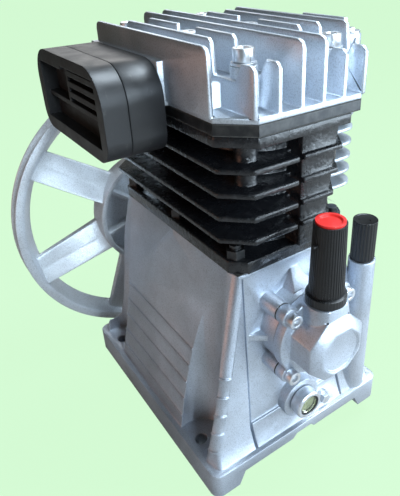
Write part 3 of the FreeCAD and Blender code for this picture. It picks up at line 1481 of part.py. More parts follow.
# ---------------------------------------------------------------- delivery cooler
def cooler():
    """The finned outlet piece: flange, lengthwise fins above, plates on a column below."""
    flange_back = "delivery_face + cooler_flange"
    left = "cooler_x - cooler_plate_x / 2"
    right = "cooler_x + cooler_plate_x / 2"
    front = "cooler_y - cooler_plate_y / 2"
    rear = "cooler_y + cooler_plate_y / 2"
    length = (front + " + cooler_inset", rear + " - cooler_inset")
    outlet = ("cooler_x + cooler_core", "cooler_y + outlet_shift", "cooler_low + outlet_rise")
    items = [
        box("cooler_flange_plate", ("delivery_face", flange_back),
            ("cooler_y - delivery_half", "cooler_y + delivery_half"), ("cooler_box_bottom", "delivery_top")),
        box("cooler_box", (flange_back + " - 1", right + " - 2"), length,
            ("cooler_box_bottom", "cooler_box_top")),
        cylinder("cooler_column", "cooler_core", "cooler_box_bottom - cooler_low + 1",
                 ("cooler_x", "cooler_y", "cooler_low - 1")),
        box("cooler_foot", ("cooler_x - cooler_core", outlet[0]),
            ("%s - outlet_half" % outlet[1], "%s + outlet_half" % outlet[1]),
            ("%s - outlet_half" % outlet[2], "%s + outlet_half" % outlet[2])),
    ]
    for number in range(int(value("cooler_plate_count"))):
        low = "cooler_first + %d * cooler_pitch" % number
        sheet = box("cooler_sheet_%d" % number, (left, right), (front, rear), (low, low + " + cooler_plate"))
        items.append(rounded("cooler_plate_%d" % number, sheet, "cooler_corner", "Z"))
    for number in range(int(value("cooler_fin_count"))):
        x = "(cooler_x + (%d - 1) * cooler_fin_pitch)" % number
        items.append(box("cooler_fin_%d" % number, (x + " - 1.5", x + " + 1.5"), length,
                         ("cooler_box_top - 1", "cooler_fin_top")))
    items.append(cylinder("cooler_plug_boss", "top_plug_radius + 1", "top_plug_seat - cooler_box_top + 1",
                          ("plug_x", "plug_y", "cooler_box_top - 1")))
    port_z = "%s + port_height" % HEAD_BASE
    tools = [
        cylinder("cooler_bore_hole", "cooler_bore", "%s - (%s)" % (port_z, outlet[2]),
                 ("cooler_x", "cooler_y", outlet[2])),
        cylinder("cooler_outlet", "fitting_thread + thread_gap", "fitting_thread_length + 1",
                 ("%s - fitting_thread_length" % outlet[0],) + outlet[1:], "X"),
        box("cooler_cross", ("cooler_x - cooler_bore", "cooler_x + cooler_bore"),
            ("delivery_y - intake_port", "cooler_y"), ("cooler_box_bottom + 4", "cooler_box_top - 4")),
        cylinder("cooler_inlet", "intake_port", "cooler_x - delivery_face + 1",
                 ("delivery_face - 1", "delivery_y", port_z), "X"),
        cylinder("cooler_plug_hole", "top_plug_radius / 2 + thread_gap", "12",
                 ("plug_x", "plug_y", "top_plug_seat - 10")),
        cylinder("cooler_plug_room", "top_plug_radius + 1", "top_plug_drop + 1",
                 ("plug_x", "plug_y", "top_plug_seat")),
    ]
    for number, y in enumerate(SIDE_SCREWS):
        tools.append(cylinder("cooler_screw_hole_%d" % number, "side_screw_radius + run_gap", "cooler_flange + 2",
                              ("delivery_face - 1", y, "cooler_screw_z"), "X"))
        tools.append(cylinder("cooler_screw_room_%d" % number, "side_screw_head + 1", "40",
                              (flange_back, y, "cooler_screw_z"), "X"))
    node("cooler", cut("cooler_cut", fuse("cooler_whole", items), tools))
    node("cooler_screws", compound("cooler_screw_set", [
        outward_screw("side_screw_%d" % n, (flange_back, y, "cooler_screw_z")) for n, y in enumerate(SIDE_SCREWS)]))
    disc = cylinder("top_plug_disc", "top_plug_radius", "top_plug_rim", ("plug_x", "plug_y", "top_plug_seat"))
    plug = hexagon("top_plug_head", "top_plug_flats", "top_plug_rim + top_plug_hex",
                   ("plug_x", "plug_y", "top_plug_seat"))
    shank = cylinder("top_plug_shank", "top_plug_radius / 2", "9", ("plug_x", "plug_y", "top_plug_seat - 9"))
    node("cooler_plug", fuse("top_plug_whole", [disc, plug, shank]))
    body = hexagon("fitting_hex", "fitting_flats", "fitting_height", outlet, "X")
    thread = cylinder("fitting_shank", "fitting_thread", "fitting_thread_length - 1",
                      ("%s - fitting_thread_length + 1" % outlet[0],) + outlet[1:], "X")
    bore = cylinder("fitting_hole", "fitting_bore", "fitting_height + fitting_thread_length + 2",
                    ("%s - fitting_thread_length" % outlet[0],) + outlet[1:], "X")
    node("discharge_fitting", cut("fitting_cut", fuse("fitting_whole", [body, thread]), [bore]))


def outward_screw(name, at):
    """A socket screw whose head stands off towards +X and whose shank runs back."""
    head = cylinder(name + "_head", "side_screw_head", "side_screw_head", at, "X")
    shank = cylinder(name + "_shank", "side_screw_radius", "cooler_flange + 8",
                     (at[0] + " - cooler_flange - 8", at[1], at[2]), "X")
    socket = hexagon(name + "_hex", "side_screw_head", "side_screw_head",
                     (at[0] + " + side_screw_head / 2", at[1], at[2]), "X")
    return cut(name, fuse(name + "_whole", [head, shank]), [socket])


# ---------------------------------------------------------------- intake filter
def filter_shell(name, outer, inner, grow="0"):
    """A block across the filter between two X stations, with rounded edges."""
    block = box(name + "_block", (outer, inner),
                ("filter_front - (%s)" % grow, "filter_rear + (%s)" % grow),
                ("filter_bottom - (%s)" % grow, "filter_top + (%s)" % grow))
    top = rounded(name + "_top", block, "filter_corner_top + (%s)" % grow, "X",
                  lambda place: place.z > value("filter_top + (%s) - 1" % grow))
    return rounded(name, top, "filter_corner + (%s)" % grow, "X",
                   lambda place: place.z < value("filter_bottom - (%s) + 1" % grow))


def filter_set():
    back = "(-intake_face)"
    seam = "(-filter_seam)"
    housing = filter_shell("filter_housing_shell", seam, back)
    room = filter_shell("filter_room", seam + " - 1", back + " - filter_wall", "-filter_wall")
    port = cylinder("filter_port", "intake_port", "filter_wall + 3",
                    (back + " - filter_wall - 1", "intake_y", "%s + port_height" % HEAD_BASE), "X")
    node("filter_housing", cut("filter_housing_cut", housing, [room, port]))
    cover = filter_shell("filter_cover_shell", "-filter_face", seam + " - seam_gap")
    cover_room = filter_shell("filter_cover_room", "-filter_face + filter_recess + filter_wall", seam,
                              "-filter_wall")
    y0 = "filter_front + filter_rim"
    y1 = "filter_rear - filter_rim"
    z0 = "filter_bottom + filter_rim"
    z1 = "filter_top - filter_rim"
    split = "(filter_front + window_split)"
    shelf = "(filter_bottom + shelf_height)"
    tools = [
        cover_room,
        box("window_face", ("-filter_face - 1", "-filter_face + window_depth"), (y0, y1), (z0, z1)),
        box("window_pocket", ("-filter_face - 1", "-filter_face + filter_recess"), (split, y1), (shelf, z1)),
        box("window_trough", ("-filter_face - 1", "-filter_face + filter_recess - 2"), (y0, y1),
            (z0, shelf + " - 3")),
    ]
    for number in range(int(value("louvre_count"))):
        low = "%s + %d * louvre_pitch" % (shelf, number)
        tools.append(box("louvre_%d" % number, ("-filter_face - 1", seam), (y0 + " + 2", split + " - 3"),
                         (low, low + " + louvre_slot")))
    node("filter_cover", cut("filter_cover_cut", cover, tools))
    element = filter_shell("filter_element_block", seam + " + 1", back + " - filter_wall - 3",
                           "-filter_wall - 1.5")
    node("filter_element", cut("filter_element_cut", element, [
        box("element_room", (seam + " + 4", back), ("filter_front + 12", "filter_rear - 12"),
            ("filter_bottom + 12", "filter_top - 12"))]))


# ---------------------------------------------------------------- build and export
def check_document():
    """Every object is computed and every sub-part is one valid shape."""
    DOC.recompute()
    bad = [item.Name for item in DOC.Objects if {"Invalid", "Error"} & set(item.State)]
    bad += [name for name, item in NODES.items() if item.Shape.isNull() or not item.Shape.isValid()]
    if bad:
        raise RuntimeError("not built: " + ", ".join(bad))


def main():
    os.makedirs("parts", exist_ok=True)
    fill_sheet()
    crankcase()
    crankcase_gasket()
    bearings()
    crankshaft()
    front_cap()
    front_cap_gasket()
    front_cap_screws()
    flywheel()
    wheel_fixings()
    cylinder_block()
    block_nuts()
    valve_plate_set()
    cylinder_head()
    head_bolts()
    piston("front", "0")
    piston("rear", "stroke")
    breather()
    oil_filler()
    sight_glass()
    drain_plug()
    cooler()
    filter_set()
    check_document()
    for name, item in NODES.items():
        item.Shape.exportStep("parts/%s.step" % name)
        shape = item.Shape
        box_of = shape.BoundBox
        print("%-24s solids %d volume %9.0f  x %7.1f %7.1f  y %7.1f %7.1f  z %7.1f %7.1f" % (
            name, len(shape.Solids), shape.Volume, box_of.XMin, box_of.XMax, box_of.YMin, box_of.YMax,
            box_of.ZMin, box_of.ZMax))


main()
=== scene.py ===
"""Looks of a belt-driven compressor pump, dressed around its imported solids.

Places and material sizes are in metres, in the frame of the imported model: X across the pump, +Y along
the shaft towards the flywheel, +Z up, and the origin in the middle of the mounting holes. The fields of
the modelled pieces, the breather tube, the filler plug and the rounded edges, are in millimetres.
"""

import json
import logging
import math
from collections.abc import Callable
from dataclasses import dataclass, field
from enum import Enum

import bmesh
import bpy
from mathutils import Matrix, Vector

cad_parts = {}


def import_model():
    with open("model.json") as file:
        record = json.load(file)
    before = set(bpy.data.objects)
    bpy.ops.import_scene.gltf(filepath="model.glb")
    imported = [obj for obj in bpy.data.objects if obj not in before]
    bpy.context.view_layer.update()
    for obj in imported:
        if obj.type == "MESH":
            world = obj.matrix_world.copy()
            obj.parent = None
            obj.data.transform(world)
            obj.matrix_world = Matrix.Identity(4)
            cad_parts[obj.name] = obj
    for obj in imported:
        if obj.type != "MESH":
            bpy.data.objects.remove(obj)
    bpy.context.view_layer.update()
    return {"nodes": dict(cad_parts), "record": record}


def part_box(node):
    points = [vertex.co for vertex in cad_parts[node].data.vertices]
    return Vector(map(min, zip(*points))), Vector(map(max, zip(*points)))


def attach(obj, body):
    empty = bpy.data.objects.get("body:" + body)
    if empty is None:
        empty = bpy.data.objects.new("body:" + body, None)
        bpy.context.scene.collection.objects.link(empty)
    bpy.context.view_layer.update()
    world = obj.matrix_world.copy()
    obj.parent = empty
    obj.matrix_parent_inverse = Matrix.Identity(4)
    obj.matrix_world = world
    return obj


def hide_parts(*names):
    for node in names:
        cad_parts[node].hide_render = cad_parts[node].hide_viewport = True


LOG = logging.getLogger("compressor_pump")
MM = 0.001
MERGE = 0.002 * MM
FLAT = math.radians(0.6)
FACING_UP = 0.9
ON_SIDE = 0.5
Colour = tuple[float, float, float]


# ---------------------------------------------------------------- node tree helpers
class Tree:
    """A material's node tree with short calls to add and join nodes."""

    def __init__(self, name: str) -> None:
        """Start an empty material.

        Args:
            name: the material's name.
        """
        self.material = bpy.data.materials.new(name)
        self.material.use_nodes = True
        self.nodes = self.material.node_tree.nodes
        self.links = self.material.node_tree.links
        self.nodes.clear()
        self.output = self.nodes.new("ShaderNodeOutputMaterial")
        self.shader = self.nodes.new("ShaderNodeBsdfPrincipled")
        self.links.new(self.shader.outputs["BSDF"], self.output.inputs["Surface"])
        self.place = self.nodes.new("ShaderNodeTexCoord").outputs["Object"]

    def add(self, kind: str, **settings: object) -> bpy.types.Node:
        """Add a node and set its properties.

        Args:
            kind: the node's type without its ShaderNode prefix.
            **settings: properties of the node.

        Returns:
            The new node.
        """
        node = self.nodes.new("ShaderNode" + kind)
        for key, setting in settings.items():
            setattr(node, key, setting)
        return node

    def join(self, source: bpy.types.NodeSocket, target: bpy.types.NodeSocket) -> None:
        """Link one socket to another."""
        self.links.new(source, target)

    def stretched(self, scale: tuple[float, float, float]) -> bpy.types.NodeSocket:
        """Object coordinates scaled along each axis."""
        mapping = self.add("Mapping")
        mapping.inputs["Scale"].default_value = scale
        self.join(self.place, mapping.inputs["Vector"])
        return mapping.outputs["Vector"]

    def noise(self, scale: float, detail: float = 4.0, rough: float = 0.55,
              vector: bpy.types.NodeSocket | None = None) -> bpy.types.NodeSocket:
        """A noise pattern's factor.

        Args:
            scale: features per metre.
            detail: octaves.
            rough: how strong the fine octaves are.
            vector: coordinates, or the object's own where none are given.

        Returns:
            The factor socket.
        """
        node = self.add("TexNoise")
        node.inputs["Scale"].default_value = scale
        node.inputs["Detail"].default_value = detail
        node.inputs["Roughness"].default_value = rough
        self.join(vector or self.place, node.inputs["Vector"])
        return node.outputs["Fac"]

    def ramp(self, source: bpy.types.NodeSocket, low: float, high: float, start: Colour | float,
             end: Colour | float) -> bpy.types.NodeSocket:
        """Map a factor between two stops to two colours or two numbers.

        Args:
            source: the factor.
            low: the stop of the first value.
            high: the stop of the second value.
            start: first colour or number.
            end: second colour or number.

        Returns:
            The mapped colour socket.
        """
        node = self.add("ValToRGB")
        stops = node.color_ramp.elements
        stops[0].position = low
        stops[1].position = high
        for stop, shade in zip(stops, (start, end)):
            stop.color = (*shade, 1) if isinstance(shade, tuple) else (shade, shade, shade, 1)
        self.join(source, node.inputs["Fac"])
        return node.outputs["Color"]

    def mix(self, factor: bpy.types.NodeSocket | float, first: object, second: object,
            blend: str = "MIX") -> bpy.types.NodeSocket:
        """Mix two colours by a factor.

        Args:
            factor: the mixing factor, a number or a socket.
            first: a colour or a socket.
            second: a colour or a socket.
            blend: the blend type.

        Returns:
            The mixed colour socket.
        """
        node = self.add("Mix", data_type="RGBA", blend_type=blend)
        if isinstance(factor, float):
            node.inputs["Factor"].default_value = factor
        else:
            self.join(factor, node.inputs["Factor"])
        for socket, source in ((node.inputs[6], first), (node.inputs[7], second)):
            if isinstance(source, tuple):
                socket.default_value = (*source, 1)
            else:
                self.join(source, socket)
        return node.outputs[2]

    def bump(self, height: bpy.types.NodeSocket, depth: float, strength: float = 1.0,
             under: bpy.types.NodeSocket | None = None) -> bpy.types.NodeSocket:
        """A bump from a height.

        Args:
            height: the height pattern, 0 to 1.
            depth: metres of relief at 1.
            strength: share of the effect.
            under: a normal that it adds to.

        Returns:
            The normal socket.
        """
        node = self.add("Bump")
        node.inputs["Distance"].default_value = depth
        node.inputs["Strength"].default_value = strength
        self.join(height, node.inputs["Height"])
        if under is not None:
            self.join(under, node.inputs["Normal"])
        return node.outputs["Normal"]

    def soft_edges(self, radius: float) -> bpy.types.NodeSocket:
        """A normal that rounds sharp edges over a small radius."""
        node = self.add("Bevel", samples=6)
        node.inputs["Radius"].default_value = radius
        return node.outputs["Normal"]


# ---------------------------------------------------------------- finishes
@dataclass(frozen=True)
class SprayedCasting:
    """Sand-cast metal under a thin metallic spray, with dull and warm patches, specks and grain."""

    name: str
    light: Colour = (0.6, 0.66, 0.75)
    dark: Colour = (0.41, 0.45, 0.51)
    warm: Colour = (0.47, 0.45, 0.43)
    metal: float = 0.8
    rough_low: float = 0.34
    rough_high: float = 0.5
    grain: float = 900.0
    grain_depth: float = 0.00022
    blotches: float = 14.0
    warm_patches: float = 6.0
    warm_share: float = 0.35
    specks: float = 1100.0
    speck_shade: float = 0.5
    speck_share: float = 0.5
    swell_depth: float = 0.0004
    edge: float = 0.0009

    def build(self) -> bpy.types.Material:
        """Make the material.

        Returns:
            The new material.
        """
        tree = Tree(self.name)
        base = tree.ramp(tree.noise(self.blotches, 5, 0.6), 0.32, 0.68, self.dark, self.light)
        tint = tree.ramp(tree.noise(self.warm_patches, 2), 0.45, 0.75, 0.0, self.warm_share)
        base = tree.mix(tint, base, self.warm)
        speck = tree.ramp(tree.noise(self.specks, 2, 0.7), 0.36, 0.5, self.speck_shade, 1.0)
        base = tree.mix(self.speck_share, base, speck, "MULTIPLY")
        tree.join(base, tree.shader.inputs["Base Color"])
        tree.shader.inputs["Metallic"].default_value = self.metal
        tree.join(tree.ramp(tree.noise(60, 4), 0.3, 0.7, self.rough_low, self.rough_high),
                  tree.shader.inputs["Roughness"])
        soft = tree.soft_edges(self.edge)
        coarse = tree.bump(tree.noise(160, 3), self.swell_depth, 0.35, soft)
        fine = tree.bump(tree.noise(self.grain, 3, 0.65), self.grain_depth, 0.8, coarse)
        tree.join(fine, tree.shader.inputs["Normal"])
        return tree.material


@dataclass(frozen=True)
class EnamelledIron:
    """Rough cast iron under gloss enamel."""

    name: str
    colour: Colour = (0.006, 0.0065, 0.008)
    dusty: Colour = (0.03, 0.03, 0.032)
    roughness: float = 0.2
    coat: float = 0.2
    coat_roughness: float = 0.12
    sand_depth: float = 0.0011
    grain_depth: float = 0.0003
    edge: float = 0.0011

    def build(self) -> bpy.types.Material:
        """Make the material.

        Returns:
            The new material.
        """
        tree = Tree(self.name)
        dust = tree.ramp(tree.noise(120, 5, 0.7), 0.55, 0.85, self.colour, self.dusty)
        tree.join(dust, tree.shader.inputs["Base Color"])
        tree.join(tree.ramp(tree.noise(90, 4), 0.3, 0.7, self.roughness, self.roughness + 0.16),
                  tree.shader.inputs["Roughness"])
        tree.shader.inputs["Coat Weight"].default_value = self.coat
        tree.shader.inputs["Coat Roughness"].default_value = self.coat_roughness
        soft = tree.soft_edges(self.edge)
        coarse = tree.bump(tree.noise(190, 4, 0.6), self.sand_depth, 0.8, soft)
        fine = tree.bump(tree.noise(700, 3, 0.6), self.grain_depth, 0.6, coarse)
        tree.join(fine, tree.shader.inputs["Normal"])
        return tree.material


@dataclass(frozen=True)
class MachinedMetal:
    """Plated or ground metal with fine streaks and light stains."""

    name: str
    colour: Colour = (0.62, 0.62, 0.6)
    stain: Colour = (0.4, 0.38, 0.34)
    roughness: float = 0.3
    streaks: tuple[float, float, float] = (900.0, 900.0, 60.0)
    streak_depth: float = 0.00006
    edge: float = 0.0004

    def build(self) -> bpy.types.Material:
        """Make the material.

        Returns:
            The new material.
        """
        tree = Tree(self.name)
        base = tree.ramp(tree.noise(130, 4), 0.4, 0.75, self.colour, self.stain)
        tree.join(base, tree.shader.inputs["Base Color"])
        tree.shader.inputs["Metallic"].default_value = 0.95
        streak = tree.noise(1.0, 3, 0.6, tree.stretched(self.streaks))
        tree.join(tree.ramp(streak, 0.3, 0.7, self.roughness - 0.08, self.roughness + 0.12),
                  tree.shader.inputs["Roughness"])
        normal = tree.bump(streak, self.streak_depth, 0.5, tree.soft_edges(self.edge))
        tree.join(normal, tree.shader.inputs["Normal"])
        return tree.material


@dataclass(frozen=True)
class MouldedPlastic:
    """Moulded plastic with a fine spark texture, dust and a few scuffs."""

    name: str
    colour: Colour = (0.012, 0.012, 0.013)
    worn: Colour = (0.05, 0.048, 0.045)
    roughness: float = 0.4
    relief: float = 0.00005
    edge: float = 0.0008

    def build(self) -> bpy.types.Material:
        """Make the material.

        Returns:
            The new material.
        """
        tree = Tree(self.name)
        scuff = tree.noise(1.0, 4, 0.7, tree.stretched((260.0, 40.0, 160.0)))
        base = tree.ramp(scuff, 0.62, 0.8, self.colour, self.worn)
        tree.join(base, tree.shader.inputs["Base Color"])
        tree.join(tree.ramp(tree.noise(70, 4), 0.3, 0.7, self.roughness - 0.05, self.roughness + 0.12),
                  tree.shader.inputs["Roughness"])
        normal = tree.bump(tree.noise(1400, 2), self.relief, 0.7, tree.soft_edges(self.edge))
        tree.join(normal, tree.shader.inputs["Normal"])
        return tree.material


@dataclass(frozen=True)
class SheetGasket:
    """Pressed gasket sheet or felt: matt and fibrous."""

    name: str
    colour: Colour = (0.03, 0.03, 0.028)
    fibre: Colour = (0.08, 0.078, 0.07)

    def build(self) -> bpy.types.Material:
        """Make the material.

        Returns:
            The new material.
        """
        tree = Tree(self.name)
        strand = tree.noise(1.0, 5, 0.7, tree.stretched((500.0, 500.0, 1500.0)))
        tree.join(tree.ramp(strand, 0.4, 0.7, self.colour, self.fibre), tree.shader.inputs["Base Color"])
        tree.shader.inputs["Roughness"].default_value = 0.8
        tree.join(tree.bump(strand, 0.0002, 0.6), tree.shader.inputs["Normal"])
        return tree.material


@dataclass(frozen=True)
class SightLens:
    """Clear oil-stained glass."""

    name: str

    def build(self) -> bpy.types.Material:
        """Make the material.

        Returns:
            The new material.
        """
        tree = Tree(self.name)
        tree.join(tree.ramp(tree.noise(90, 3), 0.4, 0.7, (0.98, 0.98, 0.95), (0.9, 0.88, 0.8)),
                  tree.shader.inputs["Base Color"])
        tree.shader.inputs["Transmission Weight"].default_value = 1.0
        tree.shader.inputs["Roughness"].default_value = 0.04
        tree.shader.inputs["IOR"].default_value = 1.5
        tree.join(tree.bump(tree.noise(200, 2), 0.0001, 0.2), tree.shader.inputs["Normal"])
        return tree.material


class Finish(Enum):
    """Every finish on the pump."""

    CASE = SprayedCasting("silver_case")
    HEAD = SprayedCasting("silver_head", light=(0.66, 0.72, 0.8), dark=(0.48, 0.52, 0.57), metal=0.8,
                          rough_low=0.32, rough_high=0.46, grain=1100.0, grain_depth=0.00016)
    # The wheel's silver is lighter than the case's. This is partly its own paint and partly painted light,
    # standing in for the light that falls on the flywheel's spokes.
    WHEEL = SprayedCasting("silver_wheel_and_painted_light", light=(0.76, 0.82, 0.88), dark=(0.58, 0.61, 0.64), grain=700.0,
                           metal=0.45, grain_depth=0.0002)
    BLOCK = EnamelledIron("black_block")
    PLATED = MachinedMetal("zinc_plate", colour=(0.76, 0.79, 0.84), stain=(0.5, 0.5, 0.5), roughness=0.34)
    GROUND = MachinedMetal("ground_steel", colour=(0.6, 0.61, 0.63), roughness=0.2)
    PISTON = MachinedMetal("piston_alloy", colour=(0.75, 0.75, 0.76), roughness=0.32)
    BRASS = MachinedMetal("brass_fitting", colour=(0.72, 0.55, 0.25), stain=(0.45, 0.32, 0.14))
    REFLECTOR = MachinedMetal("reflector_tin", colour=(0.55, 0.5, 0.42), roughness=0.3)
    PLASTIC = MouldedPlastic("black_plastic")
    CAP_PLASTIC = MouldedPlastic("black_cap_plastic", colour=(0.006, 0.006, 0.0065), worn=(0.02, 0.02, 0.02),
                                 roughness=0.32, edge=0.0003)
    RED = MouldedPlastic("red_plastic", colour=(0.62, 0.02, 0.015), worn=(0.7, 0.1, 0.07), roughness=0.28,
                         edge=0.0003)
    BLACKENED = MachinedMetal("blackened_plate", colour=(0.05, 0.052, 0.055), stain=(0.1, 0.1, 0.1),
                              roughness=0.35)
    RUBBER = MouldedPlastic("seal_rubber", colour=(0.015, 0.015, 0.015), roughness=0.6)
    GASKET = SheetGasket("gasket_sheet")
    FELT = SheetGasket("filter_felt", colour=(0.62, 0.58, 0.46), fibre=(0.8, 0.77, 0.66))
    LENS = SightLens("sight_lens")


class Paintshop:
    """Builds each finish once and puts it on pieces."""

    def __init__(self) -> None:
        """Start with no finish made."""
        self.made: dict[Finish, bpy.types.Material] = {}

    def dress(self, piece: bpy.types.Object, finish: Finish) -> None:
        """Give every material slot of a piece a finish.

        Args:
            piece: the mesh object.
            finish: the finish it gets.
        """
        if finish not in self.made:
            self.made[finish] = finish.value.build()
        slots = piece.material_slots
        if not slots:
            piece.data.materials.append(self.made[finish])
            return
        for slot in slots:
            slot.material = self.made[finish]


# ---------------------------------------------------------------- studio
def backdrop_rays(nodes: bpy.types.Nodes, links: bpy.types.NodeLinks,
                  mirrored: float) -> bpy.types.NodeSocket:
    """How much of the backdrop's own colour a ray sees: all by sight or through glass, a share in mirrors.

    Args:
        nodes: the nodes of the floor's or the world's tree.
        links: its links.
        mirrored: the share that a glossy ray sees.

    Returns:
        The share's socket.
    """
    path = nodes.new("ShaderNodeLightPath")
    straight, shining, either = (nodes.new("ShaderNodeMath") for _ in range(3))
    straight.operation = either.operation = "MAXIMUM"
    shining.operation = "MULTIPLY"
    shining.inputs[1].default_value = mirrored
    for source, target in ((path.outputs["Is Camera Ray"], straight.inputs[0]),
                           (path.outputs["Is Transmission Ray"], straight.inputs[1]),
                           (path.outputs["Is Glossy Ray"], shining.inputs[0]),
                           (straight.outputs[0], either.inputs[0]),
                           (shining.outputs[0], either.inputs[1])):
        links.new(source, target)
    return either.outputs[0]


@dataclass
class Studio:
    """Plain floor and backdrop, soft lamps and the camera."""

    mirrored: float = 0.03
    floor_z: float = -0.0166
    floor_size: float = 12.0
    floor_paint: Colour = (0.34, 0.32, 0.3)
    glow_share: float = 0.95
    shade: Colour = (0.69, 1.0, 0.685)
    sky: Colour = (1.0, 0.93, 0.87)
    sky_strength: float = 0.045
    middle: Colour = (0.0, 0.0, 0.17)
    eye: Colour = (-0.2113, -0.3272, 0.3761)
    azimuth: float = math.radians(-34.28)
    elevation: float = math.radians(27.87)
    roll: float = math.radians(-2.01)
    lens: float = 37.59
    shift: tuple[float, float] = (-0.0642, -0.0678)

    def backdrop_finish(self) -> bpy.types.Material:
        """A pale floor that keeps the object's shadow and glows softly to the camera.

        Returns:
            The new material.
        """
        tree = Tree("pale_backdrop")
        tree.shader.inputs["Base Color"].default_value = (*self.floor_paint, 1)
        tree.shader.inputs["Roughness"].default_value = 0.9
        glow = tree.add("Emission")
        glow.inputs["Color"].default_value = (*self.shade, 1)
        share = tree.add("Math", operation="MULTIPLY")
        share.inputs[1].default_value = self.glow_share
        tree.join(backdrop_rays(tree.nodes, tree.links, self.mirrored), share.inputs[0])
        blend = tree.add("MixShader")
        tree.join(share.outputs[0], blend.inputs["Fac"])
        tree.join(tree.shader.outputs["BSDF"], blend.inputs[1])
        tree.join(glow.outputs["Emission"], blend.inputs[2])
        tree.join(blend.outputs["Shader"], tree.output.inputs["Surface"])
        return tree.material

    def floor(self) -> None:
        """Add the floor."""
        bpy.ops.mesh.primitive_plane_add(size=self.floor_size, location=(0, 0, self.floor_z))
        plane = bpy.context.object
        plane.name = "studio_floor"
        plane.data.materials.append(self.backdrop_finish())

    def world(self) -> None:
        """A plain pale world that the camera sees as the backdrop colour."""
        world = bpy.data.worlds.new("studio_world")
        bpy.context.scene.world = world
        world.use_nodes = True
        nodes, links = world.node_tree.nodes, world.node_tree.links
        light = nodes["Background"]
        light.inputs["Color"].default_value = (*self.sky, 1)
        light.inputs["Strength"].default_value = self.sky_strength
        seen = nodes.new("ShaderNodeBackground")
        seen.inputs["Color"].default_value = (*self.shade, 1)
        blend = nodes.new("ShaderNodeMixShader")
        links.new(backdrop_rays(nodes, links, self.mirrored), blend.inputs["Fac"])
        links.new(light.outputs["Background"], blend.inputs[1])
        links.new(seen.outputs["Background"], blend.inputs[2])
        links.new(blend.outputs["Shader"], nodes["World Output"].inputs["Surface"])

    def lamp(self, name: str, place: Colour, size: float, watts: float,
             colour: Colour = (1, 1, 1)) -> None:
        """Add a square soft lamp that points at the object's middle.

        Args:
            name: its name.
            place: where it stands.
            size: length of its sides.
            watts: its power.
            colour: its colour.
        """
        data = bpy.data.lights.new(name, "AREA")
        data.size = size
        data.energy = watts
        data.color = colour
        lamp = bpy.data.objects.new(name, data)
        bpy.context.collection.objects.link(lamp)
        lamp.location = place
        lamp.rotation_euler = (Vector(self.middle) - Vector(place)).to_track_quat("-Z", "Y").to_euler()

    def lamps(self) -> None:
        """Overhead soft box, a cool window and key in front, a warm fill at the left and a rim lamp."""
        self.lamp("top_box", (0.5, -0.1, 1.25), 0.7, 30, (0.76, 0.89, 1.0))
        self.lamp("right_window", (0.95, -1.0, 0.32), 0.9, 27, (0.72, 0.87, 1.0))
        self.lamp("front_key", (-0.12, -1.35, 0.7), 0.5, 21, (0.72, 0.87, 1.0))
        self.lamp("left_fill", (-1.1, 0.1, 0.35), 0.6, 1.7, (1.0, 0.5, 0.34))
        self.lamp("rear_rim", (0.4, 1.1, 0.9), 0.6, 3)

    def camera(self) -> None:
        """Add the camera at its viewing angle."""
        data = bpy.data.cameras.new("camera")
        data.lens = self.lens
        data.sensor_width = 36
        data.shift_x, data.shift_y = self.shift
        data.clip_start = 0.01
        camera = bpy.data.objects.new("camera", data)
        bpy.context.collection.objects.link(camera)
        a, e = self.azimuth, self.elevation
        forward = Vector((-math.sin(a) * math.cos(e), math.cos(a) * math.cos(e), -math.sin(e)))
        level = Vector((math.cos(a), math.sin(a), 0))
        upright = level.cross(forward)
        right = level * math.cos(self.roll) + upright * math.sin(self.roll)
        up = upright * math.cos(self.roll) - level * math.sin(self.roll)
        turn = Matrix((right, up, -forward)).transposed()
        camera.matrix_world = Matrix.Translation(Vector(self.eye)) @ turn.to_4x4()
        bpy.context.scene.camera = camera

    def build(self) -> None:
        """Set the stage."""
        bpy.context.scene.view_settings.view_transform = "Standard"
        self.floor()
        self.world()
        self.lamps()
        self.camera()


